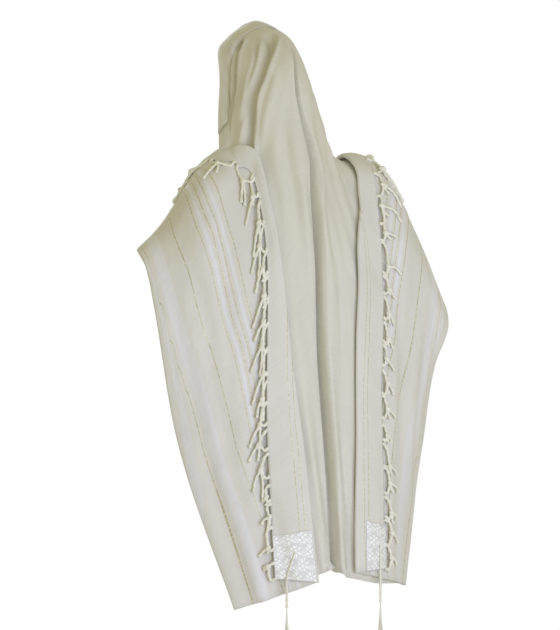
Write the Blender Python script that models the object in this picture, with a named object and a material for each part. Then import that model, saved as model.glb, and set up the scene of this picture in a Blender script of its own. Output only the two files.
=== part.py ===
"""Tallit prayer shawl, worn over the head and folded back over both shoulders.

Metres, +Z up. The wearer would face +Y, with the right hand at +X. The origin is the crown of
the head, just under the cloth, where a head holds the shawl up.

The shawl is one oblong cloth. From its long edge over the brow it runs over the crown and down
the back. Each side runs out to an outer fold over the arm, back to an inner fold beside the
spine, and out again to its short, fringed edge. All three layers lie over the shoulder, front
and back. Every layer is read from one smooth sheet. Two numbers name a place on that sheet:
the turn, from -1 at the left outer fold through 0 at the middle to 1 at the right outer fold,
and the share, from -1 at the front edge through 0 on the crown and shoulders to 1 at the back
hem.
"""
import math

import bmesh
import bpy
import numpy as np
from mathutils import Vector

# Cloth and gaps
CLOTH = 0.002
SEAM = 0.0003
EDGE_SHARE = 1.1
LAYER = 0.008
TRIM = 0.0012

# Grid of the sheet
HOOD_TURN = 0.5
HOOD_COLUMNS = 30
SIDE_COLUMNS = 7
FRONT_SHARES = (-1.0, -0.9, -0.8, -0.66, -0.5, -0.34, -0.22, -0.13, -0.06, 0.0)
BACK_SHARES = (0.04, 0.08, 0.12, 0.16, 0.20, 0.24, 0.29, 0.34, 0.40, 0.46, 0.52, 0.58, 0.64, 0.70,
               0.76, 0.82, 0.86, 0.90, 0.95, 1.0)
HOOD_SHARE = 0.24
PATCH_SHARES = (0.90, -0.80)
PATCH_SKIP = {("left", "back"): 0, ("left", "front"): 0, ("right", "back"): 1, ("right", "front"): 0}
FOLD_COLUMNS = 8
END_COLUMNS = 4
BEND_STEPS = 3
PROBE = 0.004
NEAR = 1e-6

# Upright sections of the sheet, from the middle out: the turn, then the rim, the fall behind it,
# the ridge of crown or shoulder, the back of the head and the nape. Hood rows serve both sides.
HOOD_SECTIONS = (
    (0.00, (0.000, 0.045, 0.004), (0.000, 0.000, 0.005), (0.000, -0.050, -0.012),
     (0.000, -0.155, -0.075), (0.000, -0.205, -0.240)),
    (0.12, (0.050, 0.037, -0.024), (0.053, 0.000, -0.020), (0.055, -0.048, -0.038),
     (0.046, -0.140, -0.100), (0.036, -0.200, -0.262)),
    (0.20, (0.073, 0.032, -0.060), (0.076, -0.008, -0.066), (0.077, -0.050, -0.084),
     (0.075, -0.120, -0.140), (0.062, -0.193, -0.290)),
    (0.28, (0.077, 0.030, -0.135), (0.082, -0.010, -0.138), (0.084, -0.050, -0.145),
     (0.091, -0.122, -0.190), (0.088, -0.186, -0.318)),
    (0.36, (0.079, 0.030, -0.220), (0.083, -0.012, -0.210), (0.089, -0.056, -0.206),
     (0.102, -0.122, -0.240), (0.109, -0.186, -0.335)),
    (0.44, (0.076, 0.032, -0.335), (0.086, -0.016, -0.280), (0.101, -0.082, -0.262),
     (0.116, -0.142, -0.288), (0.131, -0.197, -0.372)),
    (0.55, (0.070, 0.034, -0.500), (0.100, 0.002, -0.362), (0.143, -0.110, -0.298),
     (0.150, -0.167, -0.322), (0.167, -0.209, -0.405)),
)
LEFT_SECTIONS = (
    (-1.00, (-0.168, 0.020, -0.780), (-0.220, 0.000, -0.610), (-0.335, -0.140, -0.510),
     (-0.333, -0.157, -0.526), (-0.330, -0.172, -0.555)),
    (-0.85, (-0.115, 0.030, -0.765), (-0.170, 0.010, -0.545), (-0.274, -0.130, -0.447),
     (-0.277, -0.160, -0.465), (-0.277, -0.190, -0.508)),
    (-0.70, (-0.064, 0.034, -0.740), (-0.126, 0.012, -0.480), (-0.200, -0.125, -0.338),
     (-0.210, -0.175, -0.362), (-0.215, -0.215, -0.430)),
)
RIGHT_SECTIONS = (
    (0.70, (0.068, 0.034, -0.740), (0.140, 0.012, -0.470), (0.213, -0.120, -0.308),
     (0.222, -0.172, -0.338), (0.228, -0.215, -0.420)),
    (0.85, (0.130, 0.030, -0.770), (0.205, 0.010, -0.560), (0.305, -0.120, -0.452),
     (0.310, -0.158, -0.477), (0.313, -0.192, -0.540)),
    (1.00, (0.190, 0.020, -0.800), (0.260, 0.000, -0.680), (0.387, -0.125, -0.612),
     (0.385, -0.145, -0.630), (0.381, -0.160, -0.660)),
)
RIDGE = 2

# Level sections of the back: left end, right end, then the back and height of the middle
BACK_SECTIONS = (
    ((-0.324, -0.190, -0.620), (0.355, -0.150, -0.740), -0.272, -0.520),
    ((-0.270, -0.180, -0.885), (0.328, -0.140, -0.930), -0.285, -0.850),
    ((-0.140, -0.198, -1.267), (0.290, -0.128, -1.230), -0.280, -1.185),
)
BACK_ROUND = 2.4

# Turns of the inner fold and of the fringed edge, at shares from front edge to back hem
FOLD_LINES = {
    "left": ((-1.0, 0.74, 0.92), (-0.5, 0.64, 0.80), (0.0, 0.53, 0.62), (0.1, 0.42, 0.475),
             (0.18, 0.30, 0.355), (0.28, 0.258, 0.322), (0.5, 0.258, 0.38), (0.75, 0.222, 0.485),
             (1.0, 0.30, 0.645)),
    "right": ((-1.0, 0.74, 0.92), (-0.5, 0.66, 0.79), (0.0, 0.585, 0.665), (0.1, 0.545, 0.63),
              (0.18, 0.48, 0.60), (0.28, 0.39, 0.54), (0.5, 0.265, 0.452), (0.75, 0.236, 0.48),
              (1.0, 0.12, 0.50)),
}

# How far the third layer's back hem has risen at the fringed edge
END_LIFT = {"left": 0.039, "right": 0.022}

# Pleats of the first layer: depth, width in turns, then the line as pairs of share and turn
PLEATS = (
    ("spine", 0.013, 0.042, ((0.02, 0.05), (0.10, 0.07), (0.24, 0.11), (0.46, 0.03), (1.0, 0.01))),
    ("left_drag", 0.008, 0.040, ((0.02, -0.05), (0.10, -0.12), (0.18, -0.26), (0.24, -0.38))),
    ("right_drag", 0.006, 0.040, ((0.04, 0.16), (0.10, 0.22), (0.18, 0.30), (0.26, 0.36))),
)
PLEAT_FADE = 0.06

# Fringe
TASSELS = 28
ROOT_SPREAD = 0.011
STRIP_WIDTH = 0.003
STRIP_DEPTH = 0.0016
STRIP_GAP = 0.0005
STRAND_WIDTH = 0.002
KNOT_OUT = 0.026
KNOT_DOWN = 0.010
TAIL_OUT = 0.022
TAIL_DOWN = 0.028
STRAND_LIFT = 1.95
STRAND_TAPER = (0.8, 0.5)
RIDGE_SHARE = 0.08
TASSEL_GAP = 0.0008
STRAND_LIMIT = 0.97

# Tzitzit
HOLES = {("left", "back"): (0.94, 0.50, 0.74), ("right", "back"): (0.95, 0.70, 0.68),
         ("left", "front"): (-0.90, 0.50, 0.50), ("right", "front"): (-0.90, 0.50, 0.50)}
WINDING_LENGTH = 0.120
WINDING_RADIUS = 0.0025
WINDING_SIDES = 8
STRAND_LENGTH = 0.200
STRAND_VARIATION = 0.12
STRAND_SPREAD = 0.008
STRAND_INSET = 0.0003
STRAND_KNEE = (0.7, 0.45)
TIP_SIZE = 0.7

# Atara, the neckband
BAND_TURN = 0.375
BAND_SHARE = -0.13

IVORY = (0.66, 0.63, 0.52)
WHITE = (0.82, 0.82, 0.80)
CREAM = (0.78, 0.75, 0.60)


def clear_scene():
    """Remove whatever the scene holds."""
    for thing in list(bpy.data.objects):
        bpy.data.objects.remove(thing, do_unlink=True)


def make_material(name, colour, roughness):
    """Return a Principled material."""
    material = bpy.data.materials.new(name)
    material.use_nodes = True
    shader = material.node_tree.nodes["Principled BSDF"]
    shader.inputs["Base Color"].default_value = (*colour, 1.0)
    shader.inputs["Roughness"].default_value = roughness
    shader.inputs["Metallic"].default_value = 0.0
    return material


def smooth(knots, values, places):
    """Read a smooth curve through rows of values at the given places along its knots."""
    knots = np.asarray(knots, float)
    values = np.asarray(values, float)
    steps = np.diff(knots)
    slopes = np.diff(values, axis=0) / steps.reshape((-1,) + (1,) * (values.ndim - 1))
    weights = (steps[1:] / (steps[:-1] + steps[1:])).reshape((-1,) + (1,) * (values.ndim - 1))
    inner = slopes[:-1] * weights + slopes[1:] * (1 - weights)
    tangents = np.concatenate((slopes[:1], inner, slopes[-1:]))
    places = np.clip(places, knots[0], knots[-1])
    span = np.clip(np.searchsorted(knots, places, side="right") - 1, 0, len(knots) - 2)
    length = steps[span]
    part = (places - knots[span]) / length
    shape = part.shape + (1,) * (values.ndim - 1)
    part = part.reshape(shape)
    length = length.reshape(shape)
    square = part * part
    cube = square * part
    return ((2 * cube - 3 * square + 1) * values[span]
            + (cube - 2 * square + part) * length * tangents[span]
            + (3 * square - 2 * cube) * values[span + 1]
            + (cube - square) * length * tangents[span + 1])


def upright_sections():
    """List the turns and the upper stations of all upright sections, left to right."""
    mirrored = [(-turn, *[(-x, y, z) for x, y, z in stations]) for turn, *stations in HOOD_SECTIONS[:0:-1]]
    rows = [*LEFT_SECTIONS, *mirrored, *HOOD_SECTIONS, *RIGHT_SECTIONS]
    return [row[0] for row in rows], [row[1:] for row in rows]


def back_station(section, turns):
    """Return points of one level section of the back at the given turns."""
    left, right, back, height = section
    middle = np.array(((left[0] + right[0]) / 2, back, height))
    ends = np.where(turns[:, None] < 0, np.array(left), np.array(right))
    reach = np.abs(turns)[:, None]
    points = middle + (ends - middle) * reach
    bow = reach - reach ** BACK_ROUND
    points[:, 1] -= bow[:, 0] * (ends - middle)[:, 1]
    return points


def sheet_points(turns, shares):
    """Return points of the smooth sheet at pairs of turn and share."""
    turns = np.asarray(turns, float)
    shares = np.asarray(shares, float)
    knots, stations = upright_sections()
    upper = smooth(knots, stations, turns)
    lower = [back_station(section, turns)[:, None, :] for section in BACK_SECTIONS]
    stations = np.concatenate([upper, *lower], axis=1)
    points = np.empty((len(turns), 3))
    for index, (column, share) in enumerate(zip(stations, shares)):
        lengths = np.concatenate(((0.0,), np.cumsum(np.linalg.norm(np.diff(column, axis=0), axis=1))))
        ridge = lengths[RIDGE]
        place = ridge * (1 + share) if share < 0 else ridge + share * (lengths[-1] - ridge)
        points[index] = smooth(lengths, column, np.array((place,)))[0]
    return points


def sheet_frame(turns, shares):
    """Return points, outward normals and the two directions of growing turn and share."""
    points = sheet_points(turns, shares)
    across = sheet_points(np.add(turns, PROBE), shares) - sheet_points(np.subtract(turns, PROBE), shares)
    down = sheet_points(turns, np.add(shares, PROBE)) - sheet_points(turns, np.subtract(shares, PROBE))
    across = across / (2 * PROBE)
    down = down / (2 * PROBE)
    normals = np.cross(down, across)
    normals /= np.linalg.norm(normals, axis=1)[:, None]
    return points, normals, across, down


def unit(vectors):
    """Return the vectors at unit length."""
    return vectors / np.linalg.norm(vectors, axis=-1, keepdims=True)


def pleat_depth(turns, shares):
    """Return how far the pleats draw the first layer in at each place."""
    depth = np.zeros(len(turns))
    for _, deepest, width, line in PLEATS:
        line = np.array(line)
        middle = np.interp(shares, line[:, 0], line[:, 1])
        enter = np.clip((shares - line[0, 0]) / PLEAT_FADE, 0, 1)
        leave = np.clip((line[-1, 0] + PLEAT_FADE - shares) / PLEAT_FADE, 0, 1)
        depth += deepest * enter * leave * np.exp(-((turns - middle) / width) ** 2)
    return depth


def sheet_turns():
    """Return the turns of the first layer's columns."""
    hood = np.linspace(-HOOD_TURN, HOOD_TURN, HOOD_COLUMNS + 1)
    side = np.linspace(HOOD_TURN, 1.0, SIDE_COLUMNS + 1)[1:]
    return np.concatenate((-side[::-1], hood, side))


def sheet_shares():
    """Return the shares of every layer's rows."""
    return np.array(FRONT_SHARES + BACK_SHARES)


def first_layer():
    """Return the points and outward normals of the first layer, row by row."""
    turns = sheet_turns()
    rows = []
    for share in sheet_shares():
        shares = np.full(len(turns), share)
        points, normals, _, _ = sheet_frame(turns, shares)
        rows.append(points - normals * pleat_depth(turns, shares)[:, None])
    grid = np.array(rows)
    return grid, unit(np.cross(np.gradient(grid, axis=0), np.gradient(grid, axis=1)))


def fold_turns(side, share):
    """Return the turns of the inner fold and of the fringed edge at one share."""
    line = np.array(FOLD_LINES[side])
    sign = -1 if side == "left" else 1
    inner, fringed = smooth(line[:, 0], line[:, 1:], np.array((share,)))[0]
    return sign * inner, sign * fringed


def lifted(side, share, reach):
    """Return shares of the third layer, whose back hem is shorter, at parts of its width."""
    return share - max(share, 0.0) ** 2 * END_LIFT[side] * reach


def bend(point, normal, outward, base):
    """Return the points and normals of a half turn that lifts a layer onto the one below."""
    radius = LAYER / 2
    angles = np.linspace(0, math.pi, BEND_STEPS + 1)[:-1, None]
    lift = base + radius * (1 - np.cos(angles))
    points = point + outward * radius * np.sin(angles) + normal * lift
    return points, outward * np.sin(angles) - normal * np.cos(angles)


def away_from(edge, normals, within):
    """Return directions that leave an edge squarely along the cloth, away from points within."""
    steps = unit(np.diff(edge, axis=0))
    along = unit(np.concatenate((steps[:1], steps[1:] + steps[:-1], steps[-1:])))
    outward = unit(np.cross(normals, along))
    return outward * np.sign(np.sum(outward * (edge - within), axis=1))[:, None]


def layer_grid(side, number):
    """Return the points and normals of the second or third layer, row by row, from its bend."""
    grid = []
    facing = []
    sign = -1 if side == "left" else 1
    for share in sheet_shares():
        inner, fringed = fold_turns(side, share)
        turns = np.linspace(inner, fringed, END_COLUMNS + 1)
        if number == 2:
            turns = np.concatenate((np.linspace(sign, fringed, FOLD_COLUMNS + 1), turns[-2::-1]))
        shares = np.full(len(turns), share)
        if number == 3:
            shares = lifted(side, share, np.linspace(0, 1, END_COLUMNS + 1))
        points, normals, _, _ = sheet_frame(turns, shares)
        grid.append(points)
        facing.append(normals)
    grid = np.array(grid)
    facing = np.array(facing)
    outward = away_from(grid[:, 0], facing[:, 0], grid[:, 1])
    bends = [bend(*row, LAYER * (number - 2)) for row in zip(grid[:, 0], facing[:, 0], outward)]
    bent = np.array([points for points, _ in bends])
    turned = np.array([normals for _, normals in bends])
    return (np.concatenate((bent, grid + facing * LAYER * (number - 1)), axis=1),
            np.concatenate((turned, facing), axis=1))


def cells_of(grid, wanted=None):
    """List the cells of a grid as corner rows and columns, all or those wanted."""
    rows, columns = grid.shape[:2]
    cells = [(row, column) for row in range(rows - 1) for column in range(columns - 1)]
    return [cell for cell in cells if wanted is None or wanted(*cell)]


def add_wall(name, grid, normals, cells, thickness, material):
    """Add a cloth wall on the cells of a grid, drawn in at its edges by half a seam."""
    corners = ((0, 0), (1, 0), (1, 1), (0, 1))
    normals = normals * thickness / 2
    used = sorted({(row + i, column + j) for row, column in cells for i, j in corners})
    inward = {place: [] for place in used}
    for row, column in cells:
        for i, j in corners:
            place = (row + i, column + j)
            along_row = unit(grid[row + i, column + 1 - j] - grid[place])
            along_column = unit(grid[row + 1 - i, column + j] - grid[place])
            inward[place].append(along_row + along_column)
    shell = bmesh.new()
    outer = {}
    inner = {}
    for place in used:
        point = grid[place]
        if len(inward[place]) < len(corners):
            point = point + unit(sum(inward[place])) * SEAM * EDGE_SHARE
        outer[place] = shell.verts.new(Vector(point + normals[place]))
        inner[place] = shell.verts.new(Vector(point - normals[place]))
    sides = {}
    for row, column in cells:
        ring = [(row + i, column + j) for i, j in corners]
        for half in (ring[:3], (ring[0], ring[2], ring[3])):
            shell.faces.new([outer[place] for place in half])
            shell.faces.new([inner[place] for place in half[::-1]])
        for first, second in zip(ring, ring[1:] + ring[:1]):
            if sides.pop((second, first), None) is None:
                sides[first, second] = True
    for first, second in sides:
        into = Vector(sum(inward[first]) + sum(inward[second]))
        falling = outer[first].co + inner[second].co
        rising = outer[second].co + inner[first].co
        if (falling - rising).dot(into) > 0:
            shell.faces.new((outer[second], outer[first], inner[second]))
            shell.faces.new((outer[first], inner[first], inner[second]))
        else:
            shell.faces.new((outer[second], outer[first], inner[first]))
            shell.faces.new((outer[second], inner[first], inner[second]))
    return add_mesh(name, shell, material)


def add_first_layer(material):
    """Add hood, back and both fronts as parts of the first layer."""
    grid, normals = first_layer()
    turns = sheet_turns()
    shares = sheet_shares()

    def in_hood(row, column):
        return shares[row] < HOOD_SHARE - NEAR and -HOOD_TURN - NEAR <= turns[column] < HOOD_TURN - NEAR

    def in_front(row, column):
        return shares[row] < -NEAR and not in_hood(row, column)

    pieces = {
        "hood": in_hood,
        "left_front": lambda row, column: in_front(row, column) and turns[column] < 0,
        "right_front": lambda row, column: in_front(row, column) and turns[column] > 0,
        "back": lambda row, column: not in_hood(row, column) and not in_front(row, column),
    }
    for name, wanted in pieces.items():
        add_wall(name, grid, normals, cells_of(grid, wanted), CLOTH, material)


def add_side(side, material):
    """Add one side's second and third layers."""
    for number, name in ((2, f"{side}_fold"), (3, f"{side}_end")):
        grid, normals = layer_grid(side, number)
        add_wall(name, grid, normals, cells_of(grid), CLOTH, material)


def add_band(material):
    """Add the atara on the hood's front edge."""
    turns = sheet_turns()
    shares = sheet_shares()
    columns = np.nonzero(np.abs(turns) <= BAND_TURN + NEAR)[0]
    rows = np.nonzero(shares <= BAND_SHARE + NEAR)[0]
    grid, normals = first_layer()
    normals = normals[rows][:, columns]
    grid = grid[rows][:, columns] + normals * (CLOTH / 2 + SEAM + TRIM / 2)
    add_wall("atara", grid, normals, cells_of(grid), TRIM, material)


def add_patches(side, material):
    """Add the corner patches of one side, back and front."""
    shares = sheet_shares()
    end, facing = layer_grid(side, 3)
    grid = (end + facing * (CLOTH / 2 + SEAM + TRIM / 2))[:, BEND_STEPS:]
    facing = facing[:, BEND_STEPS:]
    places = {"back": shares >= PATCH_SHARES[0] - NEAR, "front": shares <= PATCH_SHARES[1] + NEAR}
    for place, chosen in places.items():
        skip = PATCH_SKIP[side, place]
        patch = grid[chosen][:, skip:]
        normals = facing[chosen][:, skip:]
        add_wall(f"corner_patch_{place}_{side}", patch, normals, cells_of(patch), TRIM, material)


def edge_frames(side):
    """Return the fringed edge's points, normals and outward directions, row by row."""
    grid, facing = layer_grid(side, 3)
    return grid[:, -1], facing[:, -1], away_from(grid[:, -1], facing[:, -1], grid[:, -2])


def add_fringe(side, material):
    """Add one side's fringe: a narrow strip along the edge, and knotted pairs of strands."""
    edge, normals, outward = edge_frames(side)
    lengths = np.concatenate(((0.0,), np.cumsum(np.linalg.norm(np.diff(edge, axis=0), axis=1))))
    total = lengths[-1]
    pitch = (total - 2 * CLOTH) / TASSELS

    def read(values, place):
        return np.array([np.interp(place, lengths, values[:, axis]) for axis in range(3)])

    middles = [CLOTH + pitch * (number + 0.5) for number in range(TASSELS)]
    roots = [(middle, way, middle + way * ROOT_SPREAD) for middle in middles for way in (-1, 1)]
    stations = [CLOTH, total - CLOTH]
    stations += [root + way * STRAND_WIDTH / 2 for _, _, root in roots for way in (-1, 1)]
    stations += [corner for corner in lengths[1:-1]
                 if min(abs(corner - root) for _, _, root in roots) > STRAND_WIDTH / 2 + SEAM]
    stations.sort()

    strip = bmesh.new()
    rings = []
    for place in stations:
        origin = read(edge, place)
        normal = unit(read(normals, place))
        out = unit(read(outward, place))
        near = STRIP_GAP
        far = near + STRIP_WIDTH
        half = STRIP_DEPTH / 2
        ring = [origin + out * near + normal * half, origin + out * far + normal * half,
                origin + out * far - normal * half, origin + out * near - normal * half]
        rings.append([strip.verts.new(Vector(point)) for point in ring])
    outer = []
    for first, second in zip(rings, rings[1:]):
        for corner in range(4):
            following = (corner + 1) % 4
            face = strip.faces.new((first[corner], first[following], second[following], second[corner]))
            if corner == 1:
                outer.append(face)
    strip.faces.new(rings[0][::-1])
    strip.faces.new(rings[-1])

    for middle, way, root in roots:
        face = outer[stations.index(root - STRAND_WIDTH / 2)]
        for centre, size in zip(strand_route(side, middle, way, lengths), STRAND_TAPER):
            face = extrude_to(strip, face, centre, size)
    add_mesh(f"fringe_{side}", strip, material)


def strand_route(side, middle, way, lengths):
    """Return a strand's knot and tip, which lie over the second layer and fall from the ridge."""
    shares = sheet_shares()
    place = middle + way * TASSEL_GAP
    share = float(np.interp(place, lengths, shares))
    _, fringed = fold_turns(side, share)
    share = float(lifted(side, share, 1.0))
    _, _, across, down = sheet_frame(np.array((fringed,)), np.array((share,)))
    sign = -1 if side == "left" else 1
    per_turn = sign / np.linalg.norm(across[0])
    per_share = 1 / np.linalg.norm(down[0])
    fall = np.clip(share / RIDGE_SHARE, -1, 1)
    points = []
    for out, drop in ((KNOT_OUT, KNOT_DOWN), (KNOT_OUT + TAIL_OUT, KNOT_DOWN + TAIL_DOWN)):
        new_share = np.clip(share + fall * drop * per_share, -1, 1)
        new_turn = np.clip(fringed + out * per_turn, -STRAND_LIMIT, STRAND_LIMIT)
        spot, normal, _, _ = sheet_frame(np.array((new_turn,)), np.array((new_share,)))
        points.append(Vector(spot[0] + normal[0] * LAYER * STRAND_LIFT))
    return points


def extrude_to(shell, face, centre, size):
    """Extrude a face so that its far end lies at a centre, scaled by a size."""
    result = bmesh.ops.extrude_discrete_faces(shell, faces=[face])
    end = result["faces"][0]
    middle = end.calc_center_median()
    for vertex in end.verts:
        vertex.co = centre + (vertex.co - middle) * size
    return end


def add_mesh(name, shell, material):
    """Turn a closed bmesh into an object with a material, its faces pointing out."""
    bmesh.ops.recalc_face_normals(shell, faces=shell.faces)
    mesh = bpy.data.meshes.new(name)
    shell.to_mesh(mesh)
    shell.free()
    thing = bpy.data.objects.new(name, mesh)
    bpy.context.collection.objects.link(thing)
    mesh.materials.append(material)
    return thing


def tzitzit_route(side, place):
    """Return the centre line of a tzitzit's windings, from its hole over the hem and down."""
    sign = 1 if place == "back" else -1
    points = []
    raise_by = CLOTH / 2 + SEAM + TRIM + SEAM + WINDING_RADIUS + 2 * LAYER
    hole_share, hole_reach, hem_reach = HOLES[side, place]
    for share, reach in ((hole_share, hole_reach), (sign, hem_reach)):
        inner, fringed = fold_turns(side, share)
        turn = inner + (fringed - inner) * reach
        spot, normal, _, _ = sheet_frame(np.array((turn,)), np.array((lifted(side, share, reach),)))
        points.append(spot[0] + normal[0] * raise_by)
    gone = np.linalg.norm(points[1] - points[0])
    down = np.array((0, 0, gone - WINDING_LENGTH))
    points += [points[1] + down / 2, points[1] + down]
    return [Vector(point) for point in points]


def add_tzitzit(side, place, material):
    """Add one tzitzit: a wound head and its eight free strands."""
    route = tzitzit_route(side, place)
    shell = bmesh.new()
    rings = []
    aside = Vector((1, 0, 0))
    for number, point in enumerate(route):
        heading = (route[min(number + 1, len(route) - 1)] - route[max(number - 1, 0)]).normalized()
        aside = (aside - heading * aside.dot(heading)).normalized()
        other = heading.cross(aside)
        ring = []
        for corner in range(WINDING_SIDES):
            angle = 2 * math.pi * corner / WINDING_SIDES
            spoke = aside * math.cos(angle) + other * math.sin(angle)
            ring.append(shell.verts.new(point + spoke * WINDING_RADIUS))
        rings.append(ring)
    for first, second in zip(rings, rings[1:]):
        for corner in range(WINDING_SIDES):
            following = (corner + 1) % WINDING_SIDES
            shell.faces.new((first[corner], first[following], second[following], second[corner]))
    shell.faces.new(rings[0][::-1])
    wedges = bmesh.ops.poke(shell, faces=[shell.faces.new(rings[-1])])["faces"]
    bmesh.ops.inset_individual(shell, faces=wedges, thickness=STRAND_INSET)
    end = route[-1]
    for number, wedge in enumerate(wedges):
        outward = (wedge.calc_center_median() - end).normalized() * STRAND_SPREAD
        shorter = STRAND_VARIATION * ((number * 3) % WINDING_SIDES) / WINDING_SIDES
        fall = Vector((0, 0, -STRAND_LENGTH * (1 - shorter)))
        knee = end + outward * STRAND_KNEE[0] + fall * STRAND_KNEE[1]
        face = extrude_to(shell, wedge, knee, 1.0)
        extrude_to(shell, face, end + outward + fall, TIP_SIZE)
    add_mesh(f"tzitzit_{place}_{side}", shell, material)


def main():
    """Build the shawl."""
    clear_scene()
    wool = make_material("ivory_wool", IVORY, 0.85)
    band = make_material("ivory_band", IVORY, 0.7)
    brocade = make_material("white_brocade", WHITE, 0.4)
    yarn = make_material("cream_yarn", CREAM, 0.8)
    add_first_layer(wool)
    add_band(band)
    for side in ("left", "right"):
        add_side(side, wool)
        add_patches(side, brocade)
        add_fringe(side, yarn)
        for place in ("back", "front"):
            add_tzitzit(side, place, yarn)


main()
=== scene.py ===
"""Looks of a tallit prayer shawl, worn over the head and folded back over both shoulders.

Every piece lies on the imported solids: metres, +Z up, the wearer would face +Y, and the origin is
the crown of the head, just under the cloth.
"""
import logging
import math
from collections.abc import Iterable
from dataclasses import dataclass, field, replace
from enum import Enum
from functools import lru_cache

import bpy
import numpy as np
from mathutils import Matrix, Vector


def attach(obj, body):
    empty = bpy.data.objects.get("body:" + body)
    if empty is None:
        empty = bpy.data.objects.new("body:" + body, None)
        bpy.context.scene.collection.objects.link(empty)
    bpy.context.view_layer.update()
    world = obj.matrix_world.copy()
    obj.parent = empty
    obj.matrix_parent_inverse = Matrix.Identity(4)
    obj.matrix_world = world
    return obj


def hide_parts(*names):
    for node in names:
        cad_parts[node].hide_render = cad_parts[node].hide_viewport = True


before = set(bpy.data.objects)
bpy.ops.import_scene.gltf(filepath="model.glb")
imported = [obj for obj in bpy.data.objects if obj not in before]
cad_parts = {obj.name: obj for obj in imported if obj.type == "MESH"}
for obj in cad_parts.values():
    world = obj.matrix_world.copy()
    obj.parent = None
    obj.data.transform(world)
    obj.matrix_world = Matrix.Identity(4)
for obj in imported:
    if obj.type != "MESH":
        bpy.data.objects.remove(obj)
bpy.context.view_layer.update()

LOG = logging.getLogger("shawl")

CLOTH_WIDTH = 1.95
CLOTH_LENGTH = 1.41
FRONT_LENGTH = 0.45
CLOTH_THICKNESS = 0.0008
LAYER = 0.008
BEND_STEPS = 6
PROBE = 0.004
BAND_SIZE = (0.84, 0.10)

# How a crease is read: rough metres to a whole share and turn, steps along its line, how many
# widths it reaches, and where its crests stand and how wide they are
METRES_A_UNIT = (1.35, 0.45)
CREASE_STEPS = 28
CREASE_REACH = 3.6
CREST_PLACE = 2.0
CREST_WIDTH = 0.85

# Soft waves of the layers: height, waves across and down, and where they start
FRONT_FOLDS = ((0.0045, 6.3, 0.35, 1.0), (0.0025, 10.7, -0.6, 2.0))
BACK_SLANTS = ((0.003, 3.1, -0.9, 0.4), (0.0016, 5.7, 0.5, -1.0))
MIDDLE_WAVES = ((0.0012, 6.1, 1.3, 0.0), (0.001, 9.7, -2.1, 0.3))
END_WAVES = ((0.0007, 0.4, 7.3, 0.0), (0.0005, 0.0, 13.1, 0.2))
LEAN = 0.35


class Worded(Enum):
    """A choice whose names serve in the names of pieces."""

    @property
    def word(self) -> str:
        """The choice's name in lower case."""
        return self.name.lower()


class Side(Worded):
    """The wearer's left or right, with the sign of its turns."""

    LEFT = -1
    RIGHT = 1


class Place(Worded):
    """The back or the front of the shawl, with the sign of its shares."""

    BACK = 1
    FRONT = -1


def unit(vectors: np.ndarray) -> np.ndarray:
    """Return the vectors at unit length."""
    return vectors / np.maximum(np.linalg.norm(vectors, axis=-1, keepdims=True), 1e-12)


def ease(low: float, high: float, values: np.ndarray) -> np.ndarray:
    """Return a smooth step from 0 at low to 1 at high."""
    part = np.clip((np.asarray(values, float) - low) / (high - low), 0, 1)
    return part * part * (3 - 2 * part)


def run_lengths(points: np.ndarray) -> np.ndarray:
    """Return the length along each row of points, from 0 at the row's start."""
    gaps = np.linalg.norm(np.diff(points, axis=-2), axis=-1)
    return np.concatenate((np.zeros((*gaps.shape[:-1], 1)), np.cumsum(gaps, axis=-1)), axis=-1)


def ripples(waves: tuple[tuple[float, ...], ...], across: np.ndarray, down: np.ndarray,
            lean: np.ndarray | float = 1.0) -> np.ndarray:
    """Return the sum of a few slanting waves.

    Args:
        waves: Each one's height, its waves across and down, and its start.
        across: Places across the cloth.
        down: Places down the cloth.
        lean: What each start is multiplied by.

    Returns:
        The height at each place.
    """
    return sum(height * np.sin(2 * math.pi * (across * wide + down * long + lean * start))
               for height, wide, long, start in waves)


def hermite(knots: np.ndarray, values: np.ndarray, places: np.ndarray) -> np.ndarray:
    """Read smooth curves through rows of values.

    Args:
        knots: Growing knots, one row for all places or one row for each.
        values: The values at the knots, shared or one set for each place.
        places: Where each curve is read.

    Returns:
        One value, or one array of values, for each place.
    """
    places = np.asarray(places, float)
    knots = np.asarray(knots, float)
    values = np.asarray(values, float)
    if knots.ndim == 1:
        knots = np.broadcast_to(knots, (len(places), *knots.shape))
        values = np.broadcast_to(values, (len(places), *values.shape))
    steps = np.diff(knots, axis=1)
    widen = (...,) + (None,) * (values.ndim - 2)
    slopes = np.diff(values, axis=1) / steps[widen]
    weights = (steps[:, 1:] / (steps[:, :-1] + steps[:, 1:]))[widen]
    inner = slopes[:, :-1] * weights + slopes[:, 1:] * (1 - weights)
    tangents = np.concatenate((slopes[:, :1], inner, slopes[:, -1:]), axis=1)
    places = np.clip(places, knots[:, 0], knots[:, -1])
    span = np.sum(places[:, None] >= knots[:, 1:-1], axis=1)
    pick = np.arange(len(places))
    length = steps[pick, span][widen]
    part = ((places - knots[pick, span]) / steps[pick, span])[widen]
    square = part * part
    cube = square * part
    return ((2 * cube - 3 * square + 1) * values[pick, span]
            + (cube - 2 * square + part) * length * tangents[pick, span]
            + (3 * square - 2 * cube) * values[pick, span + 1]
            + (cube - square) * length * tangents[pick, span + 1])


def mesh_object(name: str, points: np.ndarray, faces: list, uv_map: str,
                spots: np.ndarray | list) -> bpy.types.Object:
    """Make a smooth mesh object with one UV map.

    Args:
        name: The piece's name.
        points: Its corners, one a row.
        faces: The corners of each face.
        uv_map: The UV map's name.
        spots: The UV coordinates of each face corner.

    Returns:
        The new object.
    """
    mesh = bpy.data.meshes.new(name)
    mesh.from_pydata(points.tolist(), [], faces)
    mesh.uv_layers.new(name=uv_map).data.foreach_set("uv", np.asarray(spots, float).ravel())
    mesh.shade_smooth()
    thing = bpy.data.objects.new(name, mesh)
    bpy.context.collection.objects.link(thing)
    return thing


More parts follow.
